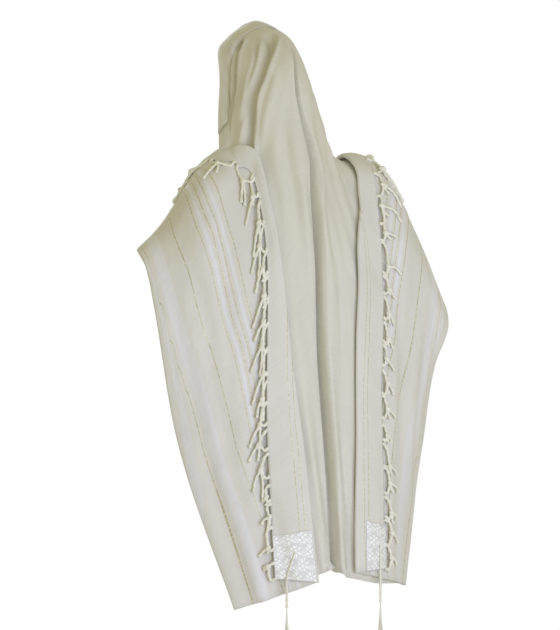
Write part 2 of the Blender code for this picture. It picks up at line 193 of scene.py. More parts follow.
def grid_object(name: str, grid: np.ndarray, across: np.ndarray, down: np.ndarray) -> bpy.types.Object:
    """Make a sheet mesh from a grid of points, with a UV map called cloth.

    Args:
        name: The piece's name.
        grid: Points by row and column.
        across: The UV map's first coordinate at each point.
        down: The UV map's second coordinate at each point.

    Returns:
        The new object.
    """
    rows, columns = grid.shape[:2]
    number = np.arange(rows * columns).reshape(rows, columns)
    quads = np.stack((number[:-1, :-1], number[1:, :-1], number[1:, 1:], number[:-1, 1:]), axis=-1)
    quads = quads.reshape(-1, 4)
    places = np.stack((across.ravel(), down.ravel()), axis=-1)[quads.ravel()]
    return mesh_object(name, grid.reshape(-1, 3), quads.tolist(), "cloth", places)


def apply_solidify(thing: bpy.types.Object, thickness: float) -> None:
    """Give a sheet its thickness, half to each side, and apply it."""
    for other in bpy.context.selected_objects:
        other.select_set(False)
    bpy.context.view_layer.objects.active = thing
    thing.select_set(True)
    wall = thing.modifiers.new("wall", "SOLIDIFY")
    wall.thickness = thickness
    wall.offset = 0.0
    bpy.ops.object.modifier_apply(modifier=wall.name)
    thing.select_set(False)


@dataclass
class YarnBin:
    """Gathers twisted tubes into one mesh."""

    points: list[np.ndarray] = field(default_factory=list)
    faces: list[tuple[int, ...]] = field(default_factory=list)
    spots: list[tuple[float, float]] = field(default_factory=list)
    count: int = 0

    def tube(self, path: np.ndarray, radii: np.ndarray, sides: int = 8, lobes: int = 2,
             lobe: float = 0.22, twist: float = 420.0, start: float = 0.0) -> None:
        """Add one closed tube whose ridges wind round it like plied yarn.

        Args:
            path: Points along its middle.
            radii: The radius at each point.
            sides: Corners of a ring.
            lobes: Plies of the yarn.
            lobe: How far each ply stands out, as a part of the radius.
            twist: Turn of the plies, in radians a metre.
            start: The turn at the tube's start.
        """
        path = np.asarray(path, float)
        heading = unit(np.gradient(path, axis=0))
        aside = np.empty_like(path)
        spare = np.eye(3)[int(np.argmin(np.abs(heading[0])))]
        aside[0] = unit(spare - heading[0] * (heading[0] @ spare))
        for index in range(1, len(path)):
            aside[index] = unit(aside[index - 1] - heading[index] * (heading[index] @ aside[index - 1]))
        other = np.cross(heading, aside)
        run = run_lengths(path)
        angles = np.arange(sides) * 2 * math.pi / sides
        bulge = 1 + lobe * np.cos(lobes * (angles[None, :] - start) - twist * run[:, None])
        spokes = (aside[:, None, :] * np.cos(angles)[None, :, None]
                  + other[:, None, :] * np.sin(angles)[None, :, None])
        rings = path[:, None, :] + spokes * (np.asarray(radii)[:, None] * bulge)[..., None]
        first = self.count
        self.points.append(rings.reshape(-1, 3))
        self.points.append(path[[0, -1]])
        self.count += rings.shape[0] * sides + 2
        caps = (self.count - 2, self.count - 1)
        for ring in range(len(path) - 1):
            low = first + ring * sides
            high = low + sides
            for corner in range(sides):
                following = (corner + 1) % sides
                self.faces.append((low + corner, low + following, high + following, high + corner))
                for step, place in ((0, corner), (0, corner + 1), (1, corner + 1), (1, corner)):
                    self.spots.append((float(run[ring + step]), place / sides))
        last = first + (len(path) - 1) * sides
        for corner in range(sides):
            following = (corner + 1) % sides
            self.faces.append((first + following, first + corner, caps[0]))
            self.faces.append((last + corner, last + following, caps[1]))
            self.spots += [(0.0, corner / sides)] * 3
            self.spots += [(float(run[-1]), corner / sides)] * 3

    def piece(self, name: str) -> bpy.types.Object:
        """Return the gathered tubes as one object with a UV map called yarn."""
        return mesh_object(name, np.concatenate(self.points), self.faces, "yarn", self.spots)


# Upright sections of the sheet, from the middle out: the turn, then the rim, the fall behind it,
# the ridge of crown or shoulder, the back of the head and the nape. Hood rows serve both sides.
HOOD_SECTIONS = (
    (0.0, (0.0, 0.045, 0.004), (0.0, 0.0, 0.005), (0.0, -0.05, -0.012), (0.0, -0.155, -0.075),
        (0.0, -0.205, -0.24)),
    (0.12, (0.05, 0.037, -0.024), (0.053, 0.0, -0.02), (0.055, -0.048, -0.038), (0.046, -0.14, -0.1),
        (0.036, -0.2, -0.262)),
    (0.2, (0.073, 0.032, -0.06), (0.076, -0.008, -0.066), (0.077, -0.05, -0.084), (0.075, -0.12, -0.14),
        (0.062, -0.193, -0.29)),
    (0.28, (0.077, 0.03, -0.135), (0.082, -0.01, -0.138), (0.084, -0.05, -0.145),
        (0.091, -0.122, -0.19), (0.088, -0.186, -0.318)),
    (0.36, (0.079, 0.03, -0.22), (0.083, -0.012, -0.21), (0.089, -0.056, -0.206),
        (0.102, -0.122, -0.24), (0.109, -0.186, -0.335)),
    (0.44, (0.076, 0.032, -0.335), (0.086, -0.016, -0.28), (0.101, -0.082, -0.262),
        (0.116, -0.142, -0.288), (0.131, -0.197, -0.372)),
    (0.55, (0.07, 0.034, -0.5), (0.1, 0.002, -0.362), (0.143, -0.11, -0.298), (0.15, -0.167, -0.322),
        (0.167, -0.209, -0.405)),
)
LEFT_SECTIONS = (
    (-1.0, (-0.168, 0.02, -0.78), (-0.22, 0.0, -0.61), (-0.335, -0.14, -0.51), (-0.333, -0.157, -0.526),
        (-0.33, -0.172, -0.555)),
    (-0.85, (-0.115, 0.03, -0.765), (-0.17, 0.01, -0.545), (-0.274, -0.13, -0.447),
        (-0.277, -0.16, -0.465), (-0.277, -0.19, -0.508)),
    (-0.7, (-0.064, 0.034, -0.74), (-0.126, 0.012, -0.48), (-0.2, -0.125, -0.338),
        (-0.21, -0.175, -0.362), (-0.215, -0.215, -0.43)),
)
RIGHT_SECTIONS = (
    (0.7, (0.068, 0.034, -0.74), (0.14, 0.012, -0.47), (0.213, -0.12, -0.308), (0.222, -0.172, -0.338),
        (0.228, -0.215, -0.42)),
    (0.85, (0.13, 0.03, -0.77), (0.205, 0.01, -0.56), (0.305, -0.12, -0.452), (0.31, -0.158, -0.477),
        (0.313, -0.192, -0.54)),
    (1.0, (0.19, 0.02, -0.8), (0.26, 0.0, -0.68), (0.387, -0.125, -0.612), (0.385, -0.145, -0.63),
        (0.381, -0.16, -0.66)),
)
RIDGE = 2

# Level sections of the back: left end, right end, then the back and height of the middle
BACK_SECTIONS = (
    ((-0.324, -0.19, -0.62), (0.355, -0.15, -0.74), -0.272, -0.52),
    ((-0.27, -0.18, -0.885), (0.328, -0.14, -0.93), -0.285, -0.85),
    ((-0.14, -0.198, -1.267), (0.29, -0.128, -1.23), -0.28, -1.185),
)
BACK_ROUND = 2.4

# Turns of the inner fold and of the fringed edge, at shares from front edge to back hem
FOLD_LINES = {
    Side.LEFT: ((-1.0, 0.74, 0.92), (-0.5, 0.64, 0.8), (0.0, 0.53, 0.62), (0.1, 0.386, 0.46),
        (0.18, 0.27, 0.345), (0.28, 0.252, 0.32), (0.5, 0.258, 0.38), (0.75, 0.222, 0.485),
        (1.0, 0.3, 0.645)),
    Side.RIGHT: ((-1.0, 0.74, 0.92), (-0.5, 0.66, 0.79), (0.0, 0.585, 0.665), (0.1, 0.545, 0.63),
        (0.18, 0.48, 0.6), (0.28, 0.39, 0.54), (0.5, 0.265, 0.452), (0.75, 0.236, 0.48),
        (1.0, 0.12, 0.5)),
}
END_LIFT = {Side.LEFT: 0.039, Side.RIGHT: 0.022}
END_DROP = 0.0056

# Where the layers together stand out or in: turn, share, their reaches and the height
SWELLS = (
    (-0.195, -0.6, 0.034, 0.6, 0.0085),
    (-0.07, -0.6, 0.035, 0.6, -0.005),
    (0.0, -0.5, 0.03, 0.5, 0.002),
    (-0.275, -0.6, 0.04, 0.6, -0.0025),
    (0.075, 0.02, 0.055, 0.07, 0.0045),
)

# Where four of the woven stripes run on the second layer: the stripe's distance from the fringed
# edge along the flat cloth, then its shares and turns
STRIPE_RUNS = {
    Side.LEFT: (
        (0.167, ((0.0, 0.69), (0.08, 0.678), (0.143, 0.648), (0.2, 0.605), (0.25, 0.568),
            (0.323, 0.538), (0.4, 0.512), (0.465, 0.48), (0.7, 0.46), (1.0, 0.47))),
        (0.2065, ((0.0, 0.74), (0.093, 0.738), (0.155, 0.724), (0.215, 0.695), (0.275, 0.655),
            (0.34, 0.626), (0.392, 0.607), (0.46, 0.57), (0.7, 0.53), (1.0, 0.54))),
        (0.2735, ((0.0, 0.822), (0.06, 0.834), (0.135, 0.82), (0.27, 0.782), (0.35, 0.757),
            (0.435, 0.716), (0.552, 0.682), (0.677, 0.664), (0.782, 0.63), (0.963, 0.605),
            (1.0, 0.603))),
        (0.3535, ((0.0, 0.985), (0.112, 0.985), (0.208, 0.968), (0.395, 0.915), (0.47, 0.888),
            (0.628, 0.873), (0.75, 0.857), (0.917, 0.86), (1.0, 0.857))),
    ),
    Side.RIGHT: (
        (0.167, ((0.0, 0.72), (0.102, 0.705), (0.153, 0.683), (0.208, 0.65), (0.245, 0.623),
            (0.282, 0.588), (0.325, 0.545), (0.373, 0.502), (0.5, 0.43), (0.75, 0.38), (1.0, 0.33))),
        (0.2065, ((0.0, 0.77), (0.1, 0.758), (0.163, 0.732), (0.22, 0.705), (0.267, 0.68),
            (0.307, 0.652), (0.368, 0.603), (0.458, 0.527), (0.513, 0.49), (0.58, 0.465), (0.75, 0.43),
            (1.0, 0.4))),
        (0.2735, ((0.0, 0.83), (0.135, 0.823), (0.223, 0.802), (0.295, 0.785), (0.392, 0.752),
            (0.465, 0.72), (0.578, 0.655), (0.65, 0.603), (0.75, 0.563), (1.0, 0.545))),
        (0.3535, ((0.0, 0.94), (0.11, 0.94), (0.267, 0.953), (0.445, 0.95), (0.542, 0.93),
            (0.675, 0.893), (0.758, 0.882), (0.85, 0.868), (1.0, 0.862))),
    ),
}


def settle(reach: np.ndarray) -> np.ndarray:
    """Return how far the third layer sinks towards the second on its way to the fringed edge."""
    return END_DROP * ease(0.25, 1.0, reach)


@dataclass
class WornForm:
    """The smooth form of the worn cloth, which every layer and trim lies on.

    A place on it is a turn, from -1 at the left outer fold to 1 at the right one, and a share,
    from -1 at the front edge through 0 on crown and shoulders to 1 at the back hem.
    """

    knots: np.ndarray = field(init=False)
    upper: np.ndarray = field(init=False)

    def __post_init__(self) -> None:
        """Lay out the upright sections from left to right."""
        mirrored = [(-turn, *[(-x, y, z) for x, y, z in rest]) for turn, *rest in HOOD_SECTIONS[:0:-1]]
        rows = [*LEFT_SECTIONS, *mirrored, *HOOD_SECTIONS, *RIGHT_SECTIONS]
        self.knots = np.array([row[0] for row in rows])
        self.upper = np.array([row[1:] for row in rows])

    def points(self, turns: np.ndarray, shares: np.ndarray) -> np.ndarray:
        """Return points of the smooth form at pairs of turn and share."""
        turns = np.asarray(turns, float)
        shares = np.asarray(shares, float)
        shape = turns.shape
        turns = turns.ravel()
        shares = shares.ravel()
        columns = [hermite(self.knots, self.upper, turns)]
        for left, right, back, height in BACK_SECTIONS:
            middle = np.array(((left[0] + right[0]) / 2, back, height))
            ends = np.where(turns[:, None] < 0, np.array(left), np.array(right))
            reach = np.abs(turns)[:, None]
            level = middle + (ends - middle) * reach
            level[:, 1] -= (reach - reach ** BACK_ROUND)[:, 0] * (ends - middle)[:, 1]
            columns.append(level[:, None, :])
        stations = np.concatenate(columns, axis=1)
        runs = run_lengths(stations)
        ridge = runs[:, RIDGE]
        places = np.where(shares < 0, ridge * (1 + shares), ridge + shares * (runs[:, -1] - ridge))
        return hermite(runs, stations, places).reshape(*shape, 3)

    def normals(self, turns: np.ndarray, shares: np.ndarray) -> np.ndarray:
        """Return the outward normals of the smooth form at pairs of turn and share."""
        turns = np.asarray(turns, float)
        shares = np.asarray(shares, float)
        across = self.points(turns + PROBE, shares) - self.points(turns - PROBE, shares)
        down = self.points(turns, shares + PROBE) - self.points(turns, shares - PROBE)
        return unit(np.cross(down, across))

    def drape(self, turns: np.ndarray, shares: np.ndarray) -> np.ndarray:
        """Return how far all layers together swell out or in, in soft uneven folds."""
        turns = np.asarray(turns, float)
        reach = np.abs(turns)
        lean = LEAN * np.sign(turns)
        front = ease(0.05, 0.55, -shares) * ease(0.50, 0.62, reach)
        folds = ripples(FRONT_FOLDS, reach, shares, lean)
        behind = ease(0.25, 0.75, shares) * ease(0.35, 0.6, reach)
        slants = ripples(BACK_SLANTS, reach, shares, lean)
        swell = np.zeros(np.broadcast(turns, shares).shape)
        for turn, share, wide, long, height in SWELLS:
            swell += height * np.exp(-((turns - turn) / wide) ** 2 - ((shares - share) / long) ** 2)
        return front * folds + behind * slants + swell

    def place(self, turns: np.ndarray, shares: np.ndarray, heights: np.ndarray) -> np.ndarray:
        """Return points at heights over the innermost layer's smooth form."""
        lift = np.asarray(heights) + self.drape(turns, shares)
        return self.points(turns, shares) + self.normals(turns, shares) * lift[..., None]

    def fold_turns(self, side: Side, shares: np.ndarray) -> tuple[np.ndarray, np.ndarray]:
        """Return the turns of one side's inner fold and fringed edge at the shares."""
        line = np.array(FOLD_LINES[side])
        both = hermite(line[:, 0], line[:, 1:], np.asarray(shares, float))
        return side.value * both[:, 0], side.value * both[:, 1]

    def lifted(self, side: Side, shares: np.ndarray, reach: np.ndarray) -> np.ndarray:
        """Return the third layer's shares, whose back hem rises towards the fringed edge."""
        return shares - np.maximum(shares, 0) ** 2 * END_LIFT[side] * reach


@dataclass(frozen=True)
class Crease:
    """A soft trough along a line on the cloth, or a ridge where its depth is negative.

    Attributes:
        depth: How far it draws the cloth in.
        left: Its width to the side of falling turns.
        right: Its width to the side of growing turns.
        line: Its share and turn, from one end to the other.
        fade: The parts of its length over which it dies away at either end.
        crest: The part of its depth that the cloth rises on either side.
        flat: Half the width of a flat floor along the line.
    """

    depth: float
    left: float
    right: float
    line: tuple[tuple[float, float], ...]
    fade: tuple[float, float] = (0.18, 0.18)
    crest: float = 0.25
    flat: float = 0.0

    def depths(self, form: WornForm, places: np.ndarray, normals: np.ndarray) -> np.ndarray:
        """Return how far the crease draws each place in.

        Args:
            form: The smooth form the line lies on.
            places: Points on the smooth form, one a row.
            normals: The outward normals there.

        Returns:
            The depth at each place.
        """
        line = np.array(self.line)
        knots = run_lengths(line * METRES_A_UNIT)
        read = hermite(knots, line, np.linspace(0, knots[-1], CREASE_STEPS + 1))
        spine = form.points(read[:, 1], read[:, 0])
        rising = read[-1, 0] >= read[0, 0]
        widest = self.flat + max(self.left, self.right) * CREASE_REACH
        near = np.all((places > spine.min(axis=0) - widest) & (places < spine.max(axis=0) + widest), axis=1)
        chosen = places[near]
        facing = normals[near]
        best = np.full(len(chosen), np.inf)
        along = np.zeros(len(chosen))
        hand = np.ones(len(chosen))
        for index, (start, step) in enumerate(zip(spine[:-1], np.diff(spine, axis=0))):
            rest = chosen - start
            part = np.clip(rest @ step / (step @ step), 0, 1)
            gap = rest - part[:, None] * step
            far = np.sum(gap * gap, axis=1)
            closer = far < best
            best = np.where(closer, far, best)
            along = np.where(closer, (index + part) / CREASE_STEPS, along)
            turned = np.sum(np.cross(step, gap) * facing, axis=1)
            hand = np.where(closer, np.where(turned >= 0, 1, -1), hand)
        if not rising:
            hand = -hand
        width = np.where(hand > 0, self.right, self.left)
        reach = np.maximum(np.sqrt(best) - self.flat, 0) / width
        crests = np.exp(-((reach - CREST_PLACE) / CREST_WIDTH) ** 2)
        shape = np.exp(-reach ** 2) - self.crest * crests
        shape *= ease(0, self.fade[0], along) * ease(0, self.fade[1], 1 - along)
        depth = np.zeros(len(places))
        depth[near] = self.depth * shape
        return depth


# Creases of the hood and of the back between the two inner folds
MIDDLE_CREASES = (
    Crease(0.019, 0.008, 0.006, ((0.015, -0.012), (0.055, -0.046), (0.077, -0.096), (0.094, -0.153),
        (0.103, -0.205), (0.118, -0.253), (0.135, -0.298), (0.155, -0.345)), fade=(0.2, 0.1), crest=0.3,
        flat=0.0045),
    Crease(0.006, 0.005, 0.006, ((0.03, -0.09), (0.06, -0.135), (0.081, -0.24), (0.09, -0.36)),
        crest=0.4),
    Crease(0.014, 0.006, 0.0055, ((-0.12, -0.115), (-0.05, -0.145), (0.004, -0.19), (0.018, -0.245),
        (0.015, -0.305), (0.005, -0.38)), crest=0.3, flat=0.002),
    Crease(0.0075, 0.005, 0.006, ((-0.24, -0.18), (-0.13, -0.225), (-0.08, -0.28), (-0.05, -0.34),
        (-0.02, -0.42)), crest=0.4),
    Crease(-0.0045, 0.009, 0.009, ((0.12, -0.08), (0.155, -0.15), (0.172, -0.205), (0.19, -0.255)),
        crest=0.1),
    Crease(0.011, 0.026, 0.003, ((0.09, 0.056), (0.159, 0.036), (0.259, 0.12), (0.328, 0.079),
        (0.445, 0.03), (0.601, 0.003), (0.731, 0.014), (0.87, -0.01), (1.0, -0.07)), fade=(0.5, 0.0001),
        crest=0.0),
    Crease(0.02, 0.0048, 0.0022, ((0.03, 0.055), (0.09, 0.056), (0.159, 0.036), (0.198, 0.058),
        (0.216, 0.092), (0.259, 0.125), (0.328, 0.083), (0.38, 0.063), (0.445, 0.034), (0.519, 0.012),
        (0.601, 0.007), (0.731, 0.018), (0.87, -0.006), (0.935, -0.03), (1.0, -0.066)),
        fade=(0.09, 0.0001), crest=0.0, flat=0.0012),
    Crease(-0.008, 0.006, 0.015, ((0.12, 0.075), (0.198, 0.098), (0.259, 0.165), (0.328, 0.12),
        (0.445, 0.068), (0.601, 0.043), (0.731, 0.058), (0.87, 0.033), (1.0, -0.027)),
        fade=(0.2, 0.0001), crest=0.0),
    Crease(0.0045, 0.008, 0.012, ((0.045, 0.14), (0.073, 0.19), (0.116, 0.24), (0.112, 0.37),
        (0.116, 0.455))),
    Crease(0.0045, 0.007, 0.009, ((0.01, 0.03), (0.04, 0.1), (0.06, 0.2), (0.06, 0.33))),
    Crease(-0.0035, 0.008, 0.008, ((-0.06, 0.17), (0.0, 0.21), (0.045, 0.28), (0.06, 0.37)), crest=0.2),
    Crease(0.0038, 0.012, 0.015, ((0.13, -0.01), (0.24, -0.08), (0.42, -0.12), (0.62, -0.11))),
    Crease(-0.0038, 0.014, 0.016, ((0.35, -0.17), (0.6, -0.16), (0.8, -0.15), (1.0, -0.16)),
        fade=(0.3, 0.0001)),
    Crease(0.0042, 0.011, 0.014, ((0.5, -0.09), (0.7, -0.06), (1.0, -0.1)), fade=(0.3, 0.0001)),
    Crease(0.0038, 0.013, 0.015, ((0.38, 0.19), (0.55, 0.16), (0.8, 0.14), (1.0, 0.08)),
        fade=(0.2, 0.0001)),
    Crease(-0.003, 0.009, 0.012, ((0.26, 0.02), (0.4, -0.04), (0.58, -0.05), (0.8, -0.045))),
    Crease(0.003, 0.01, 0.01, ((0.24, 0.23), (0.32, 0.17), (0.45, 0.13))),
    Crease(0.003, 0.012, 0.014, ((0.24, -0.19), (0.36, -0.21), (0.55, -0.2))),
)

# Creases that each folded side shares with the layer under it, written for the left
SIDE_CREASES = (
    Crease(0.003, 0.014, 0.02, ((0.05, -0.66), (0.22, -0.6), (0.45, -0.62), (0.72, -0.7))),
    Crease(-0.0026, 0.016, 0.018, ((0.16, -0.88), (0.35, -0.8), (0.62, -0.78), (1.0, -0.8)),
        fade=(0.2, 0.0001)),
    Crease(0.0026, 0.018, 0.014, ((0.3, -0.46), (0.48, -0.5), (0.74, -0.6), (1.0, -0.72)),
        fade=(0.2, 0.0001), crest=0.0),
    Crease(0.003, 0.01, 0.014, ((0.1, -0.92), (0.28, -0.9), (0.5, -0.86), (0.8, -0.9))),
    Crease(-0.0024, 0.009, 0.012, ((0.02, -0.78), (0.14, -0.76), (0.3, -0.7), (0.52, -0.64))),
    Crease(0.0022, 0.008, 0.01, ((0.24, -0.86), (0.42, -0.76), (0.66, -0.72))),
)

# The hollow that the upper layer's fringed edge stands clear of, in both layers under it
EDGE_HOLLOWS = {
    Side.LEFT: Crease(0.008, 0.02, 0.014, ((0.12, -0.42), (0.2, -0.35), (0.28, -0.335), (0.5, -0.395),
        (0.75, -0.5), (1.0, -0.65)), fade=(0.2, 0.0001), crest=0.0),
    Side.RIGHT: Crease(0.006, 0.014, 0.018, ((0.08, 0.65), (0.18, 0.61), (0.28, 0.552), (0.5, 0.462),
        (0.75, 0.49), (1.0, 0.51)), fade=(0.2, 0.0001), crest=0.0),
}


@dataclass
class Shawl:
    """The one cloth: hood, back and fronts, and on each side the two folded layers."""

    form: WornForm
    side_columns: int = 32
    end_columns: int = 14
    middle_columns: int = 184
    front_rows: int = 34
    back_rows: int = 124
    hem_lift: float = 0.010
    sag: float = 0.014

    def shares(self) -> np.ndarray:
        """Return the shares of the rows, closer together over the hood."""
        front = -np.linspace(1, 0, self.front_rows + 1)[:-1] ** 1.15
        spread = np.linspace(0, 1, self.back_rows + 1)
        back = 0.45 * spread + 0.55 * spread ** 2
        return np.concatenate((front, back))

    def middle_turns(self) -> np.ndarray:
        """Return the turns of the first layer's columns, closest beside the spine."""
        fine = np.linspace(-1, 1, 2001)
        weight = 0.42 + 1.1 * np.exp(-((fine + 0.03) / 0.30) ** 4) + 0.9 * np.exp(-((fine - 0.06) / 0.09) ** 2)
        run = np.concatenate(((0.0,), np.cumsum((weight[1:] + weight[:-1]) / 2)))
        return np.interp(np.linspace(0, run[-1], self.middle_columns + 1), run, fine)

    def creased(self, creases: Iterable[Crease], turns: np.ndarray, shares: np.ndarray) -> np.ndarray:
        """Return the heights that creases give the cloth, below 0 in a trough."""
        places = self.form.points(turns, shares).reshape(-1, 3)
        normals = self.form.normals(turns, shares).reshape(-1, 3)
        heights = np.zeros(len(places))
        for crease in creases:
            heights -= crease.depths(self.form, places, normals)
        return heights.reshape(turns.shape)

    def middle_heights(self, turns: np.ndarray, shares: np.ndarray) -> np.ndarray:
        """Return how far the first layer lies over its smooth form."""
        heights = self.creased((*MIDDLE_CREASES, *EDGE_HOLLOWS.values()), turns, shares)
        fade = 1 - ease(0.64, 0.9, np.abs(turns))
        return (heights + ripples(MIDDLE_WAVES, turns, shares) * ease(0.02, 0.1, shares)) * fade

    def side_heights(self, side: Side, turns: np.ndarray, shares: np.ndarray) -> np.ndarray:
        """Return how far the second layer lies over its own smooth form."""
        facing = [replace(crease, line=tuple((share, -side.value * turn) for share, turn in crease.line))
                  for crease in SIDE_CREASES]
        return self.creased((*facing, EDGE_HOLLOWS[side]), turns, shares)

    def end_heights(self, shares: np.ndarray, reach: np.ndarray) -> np.ndarray:
        """Return how far the third layer lies over its own smooth form."""
        return ripples(END_WAVES, reach, shares) * ease(0, 0.6, reach) - settle(reach)

    def end_grid(self, side: Side, shares: np.ndarray, reach: np.ndarray) -> tuple[np.ndarray, ...]:
        """Return turns, shares and heights of the third layer.

        Args:
            side: The side it lies on.
            shares: The rows' shares.
            reach: Parts of the way from the inner fold to the fringed edge.

        Returns:
            Arrays of turns, lifted shares and heights, by row and column.
        """
        inner, fringed = self.form.fold_turns(side, shares)
        turns = inner[:, None] + (fringed - inner)[:, None] * reach[None, :]
        rows = self.form.lifted(side, shares[:, None], reach[None, :])
        return turns, rows, 2 * LAYER + self.end_heights(shares[:, None], reach[None, :])

    def bend_columns(self, side: Side, shares: np.ndarray, turns: np.ndarray, within: np.ndarray,
                     base: float) -> np.ndarray:
        """Return the columns of a rounded fold, from its upper layer to its lower one.

        Args:
            side: Not used.
            shares: The rows' shares.
            turns: The fold's turn in each row.
            within: The turn of the neighbouring column in each row.
            base: The height of the lower layer.

        Returns:
            Points by row and step.
        """
        edge = self.form.place(turns, shares, np.zeros(len(shares)))
        inside = self.form.place(within, shares, np.zeros(len(shares)))
        normals = self.form.normals(turns, shares)
        steps = unit(np.diff(edge, axis=0))
        along = unit(np.concatenate((steps[:1], steps[1:] + steps[:-1], steps[-1:])))
        outward = unit(np.cross(normals, along))
        outward *= np.sign(np.sum(outward * (edge - inside), axis=1))[:, None]
        radius = LAYER / 2
        angles = np.linspace(math.pi, 0, BEND_STEPS + 1)[1:-1]
        columns = [edge + outward * radius * math.sin(angle)
                   + normals * (base + radius * (1 - math.cos(angle))) for angle in angles]
        return np.stack(columns, axis=1)

    def side_grid(self, side: Side, shares: np.ndarray) -> np.ndarray:
        """Return one side's third layer, inner fold, second layer and outer fold, edge first."""
        reach = np.linspace(1, 0, self.end_columns + 1)
        end = self.form.place(*self.end_grid(side, shares, reach))
        inner, fringed = self.form.fold_turns(side, shares)
        run = np.linspace(0, 1, self.side_columns + 1)
        outer = np.full(len(shares), float(side.value))
        turns = inner[:, None] + (outer - inner)[:, None] * run[None, :]
        rows = np.broadcast_to(shares[:, None], turns.shape)
        window = ease(0, 0.12, run) * ease(0, 0.12, 1 - run)
        heights = LAYER + self.side_heights(side, turns, rows) * window[None, :]
        second = self.form.place(turns, rows, heights)
        first_bend = self.bend_columns(side, shares, inner, fringed, LAYER)
        last_bend = self.bend_columns(side, shares, outer, outer * 0.98, 0.0)
        return np.concatenate((end, first_bend, second, last_bend), axis=1)

    def build(self) -> bpy.types.Object:
        """Build the whole cloth as one sheet.

        Returns:
            The finished cloth.
        """
        shares = self.shares()
        turns = np.broadcast_to(self.middle_turns()[None, :], (len(shares), self.middle_columns + 1))
        rows = np.broadcast_to(shares[:, None], turns.shape)
        hem = self.hem_lift * ease(0.02, -0.045, turns) * np.maximum(rows, 0) ** 6
        middle = self.form.place(turns, rows - hem, self.middle_heights(turns, rows))
        fall = ease(-0.075, -0.050, turns) * (1 - ease(0.30, 0.90, turns))
        middle[..., 2] -= self.sag * fall * np.maximum(rows, 0) ** 8
        left = self.side_grid(Side.LEFT, shares)
        right = self.side_grid(Side.RIGHT, shares)[:, ::-1]
        grid = np.concatenate((left, middle, right), axis=1)
        across = self.lengthwise(grid, shares, left.shape[1])
        down = np.where(shares < 0, FRONT_LENGTH * (1 + shares),
                        FRONT_LENGTH + (CLOTH_LENGTH - FRONT_LENGTH) * shares)
        down = np.broadcast_to(down[:, None], across.shape)
        cloth = grid_object("cloth", grid, across / CLOTH_WIDTH, down / CLOTH_WIDTH)
        apply_solidify(cloth, CLOTH_THICKNESS)
        return cloth

    def side_across(self, side: Side, grid: np.ndarray, shares: np.ndarray) -> np.ndarray:
        """Return the distance from one fringed edge over that side's columns.

        Args:
            side: The side.
            grid: The side's points by row and column, fringed edge first.
            shares: The rows' shares.

        Returns:
            The distance, in metres of flat cloth, with the stripes on their runs.
        """
        run = run_lengths(grid)
        first = self.end_columns + BEND_STEPS
        last = first + self.side_columns
        stripes = STRIPE_RUNS[side]
        outer = np.maximum(run[:, last], stripes[-1][0] + 0.018)
        knots, values = [np.zeros(len(shares))], [run[:, first]]
        for distance, line in stripes:
            places = np.array(line)
            inner, _ = self.form.fold_turns(side, places[:, 0])
            part = (places[:, 1] - np.abs(inner)) / (1 - np.abs(inner))
            knots.append(hermite(places[:, 0], part, shares))
            values.append(np.full(len(shares), distance))
        knots = np.stack((*knots, np.ones(len(shares))), axis=1)
        values = np.stack((*values, outer), axis=1)
        across = run.copy()
        parts = np.linspace(0, 1, self.side_columns + 1)
        for row in range(len(shares)):
            across[row, first:last + 1] = np.interp(parts, knots[row], values[row])
        across[:, last + 1:] = outer[:, None] + run[:, last + 1:] - run[:, last, None]
        return across

    def lengthwise(self, grid: np.ndarray, shares: np.ndarray, width: int) -> np.ndarray:
        """Return each point's distance from the left fringed edge along the flat cloth.

        Args:
            grid: Points by row and column, from one fringed edge to the other.
            shares: The rows' shares.
            width: The number of columns of each folded side.

        Returns:
            The distance, in metres of flat cloth.
        """
        left = self.side_across(Side.LEFT, grid[:, :width], shares)
        right = CLOTH_WIDTH - self.side_across(Side.RIGHT, grid[:, ::-1][:, :width], shares)[:, ::-1]
        run = run_lengths(grid[:, width:-width])
        part = run / run[:, -1:]
        start, end = left[:, -1:] + 0.001, right[:, :1] - 0.001
        return np.concatenate((left, start + (end - start) * part, right), axis=1)


@dataclass
class Atara:
    """The smooth band sewn along the hood's front edge."""

    form: WornForm
    shawl: Shawl
    turn: float = 0.375
    share: float = -0.13
    height: float = 0.0017
    thickness: float = 0.0010
    columns: int = 90
    rows: int = 18

    def build(self) -> bpy.types.Object:
        """Build the band as a thin sheet on the hood.

        Returns:
            The finished band.
        """
        turns = np.linspace(-self.turn, self.turn, self.columns + 1)[None, :]
        shares = np.linspace(-0.995, self.share, self.rows + 1)[:, None]
        turns, shares = np.broadcast_arrays(turns, shares)
        heights = self.height + self.shawl.middle_heights(turns, shares)
        grid = self.form.place(turns, shares, heights)
        across = (turns / self.turn * 0.5 + 0.5) * BAND_SIZE[0]
        down = (shares + 1) / (self.share + 1) * BAND_SIZE[1]
        band = grid_object("neckband", grid, across, down)
        apply_solidify(band, self.thickness)
        return band


def leaf(x: np.ndarray, y: np.ndarray, length: float, width: float, turn: float) -> np.ndarray:
    """Return the relief of one leaf that starts at the origin and leans by an angle."""
    along = (x * math.cos(turn) + y * math.sin(turn)) / length
    aside = (y * math.cos(turn) - x * math.sin(turn)) / width
    inside = np.clip(along, 0, 1)
    edge = np.sin(math.pi * inside ** 0.8) - np.abs(aside)
    vein = 1 - 0.55 * np.exp(-(aside / 0.16) ** 2)
    return np.where((along > 0) & (along < 1), ease(0.0, 0.35, edge) * vein, 0.0)


# The brocade's repeat, and in it the direction and start of each leaf, and the middle and hand of
# each scroll
REPEAT = (0.030, 0.027)
LEAVES = ((0.7, 0.0042), (1.9, 0.0050), (2.7, 0.0042), (3.8, 0.0046), (5.0, 0.0050), (5.8, 0.0044))
SCROLLS = ((REPEAT[0] / 2, 0.004, 1), (-REPEAT[0] / 2, 0.004, 1), (0.003, REPEAT[1] / 2, -1),
           (0.003, -REPEAT[1] / 2, -1))


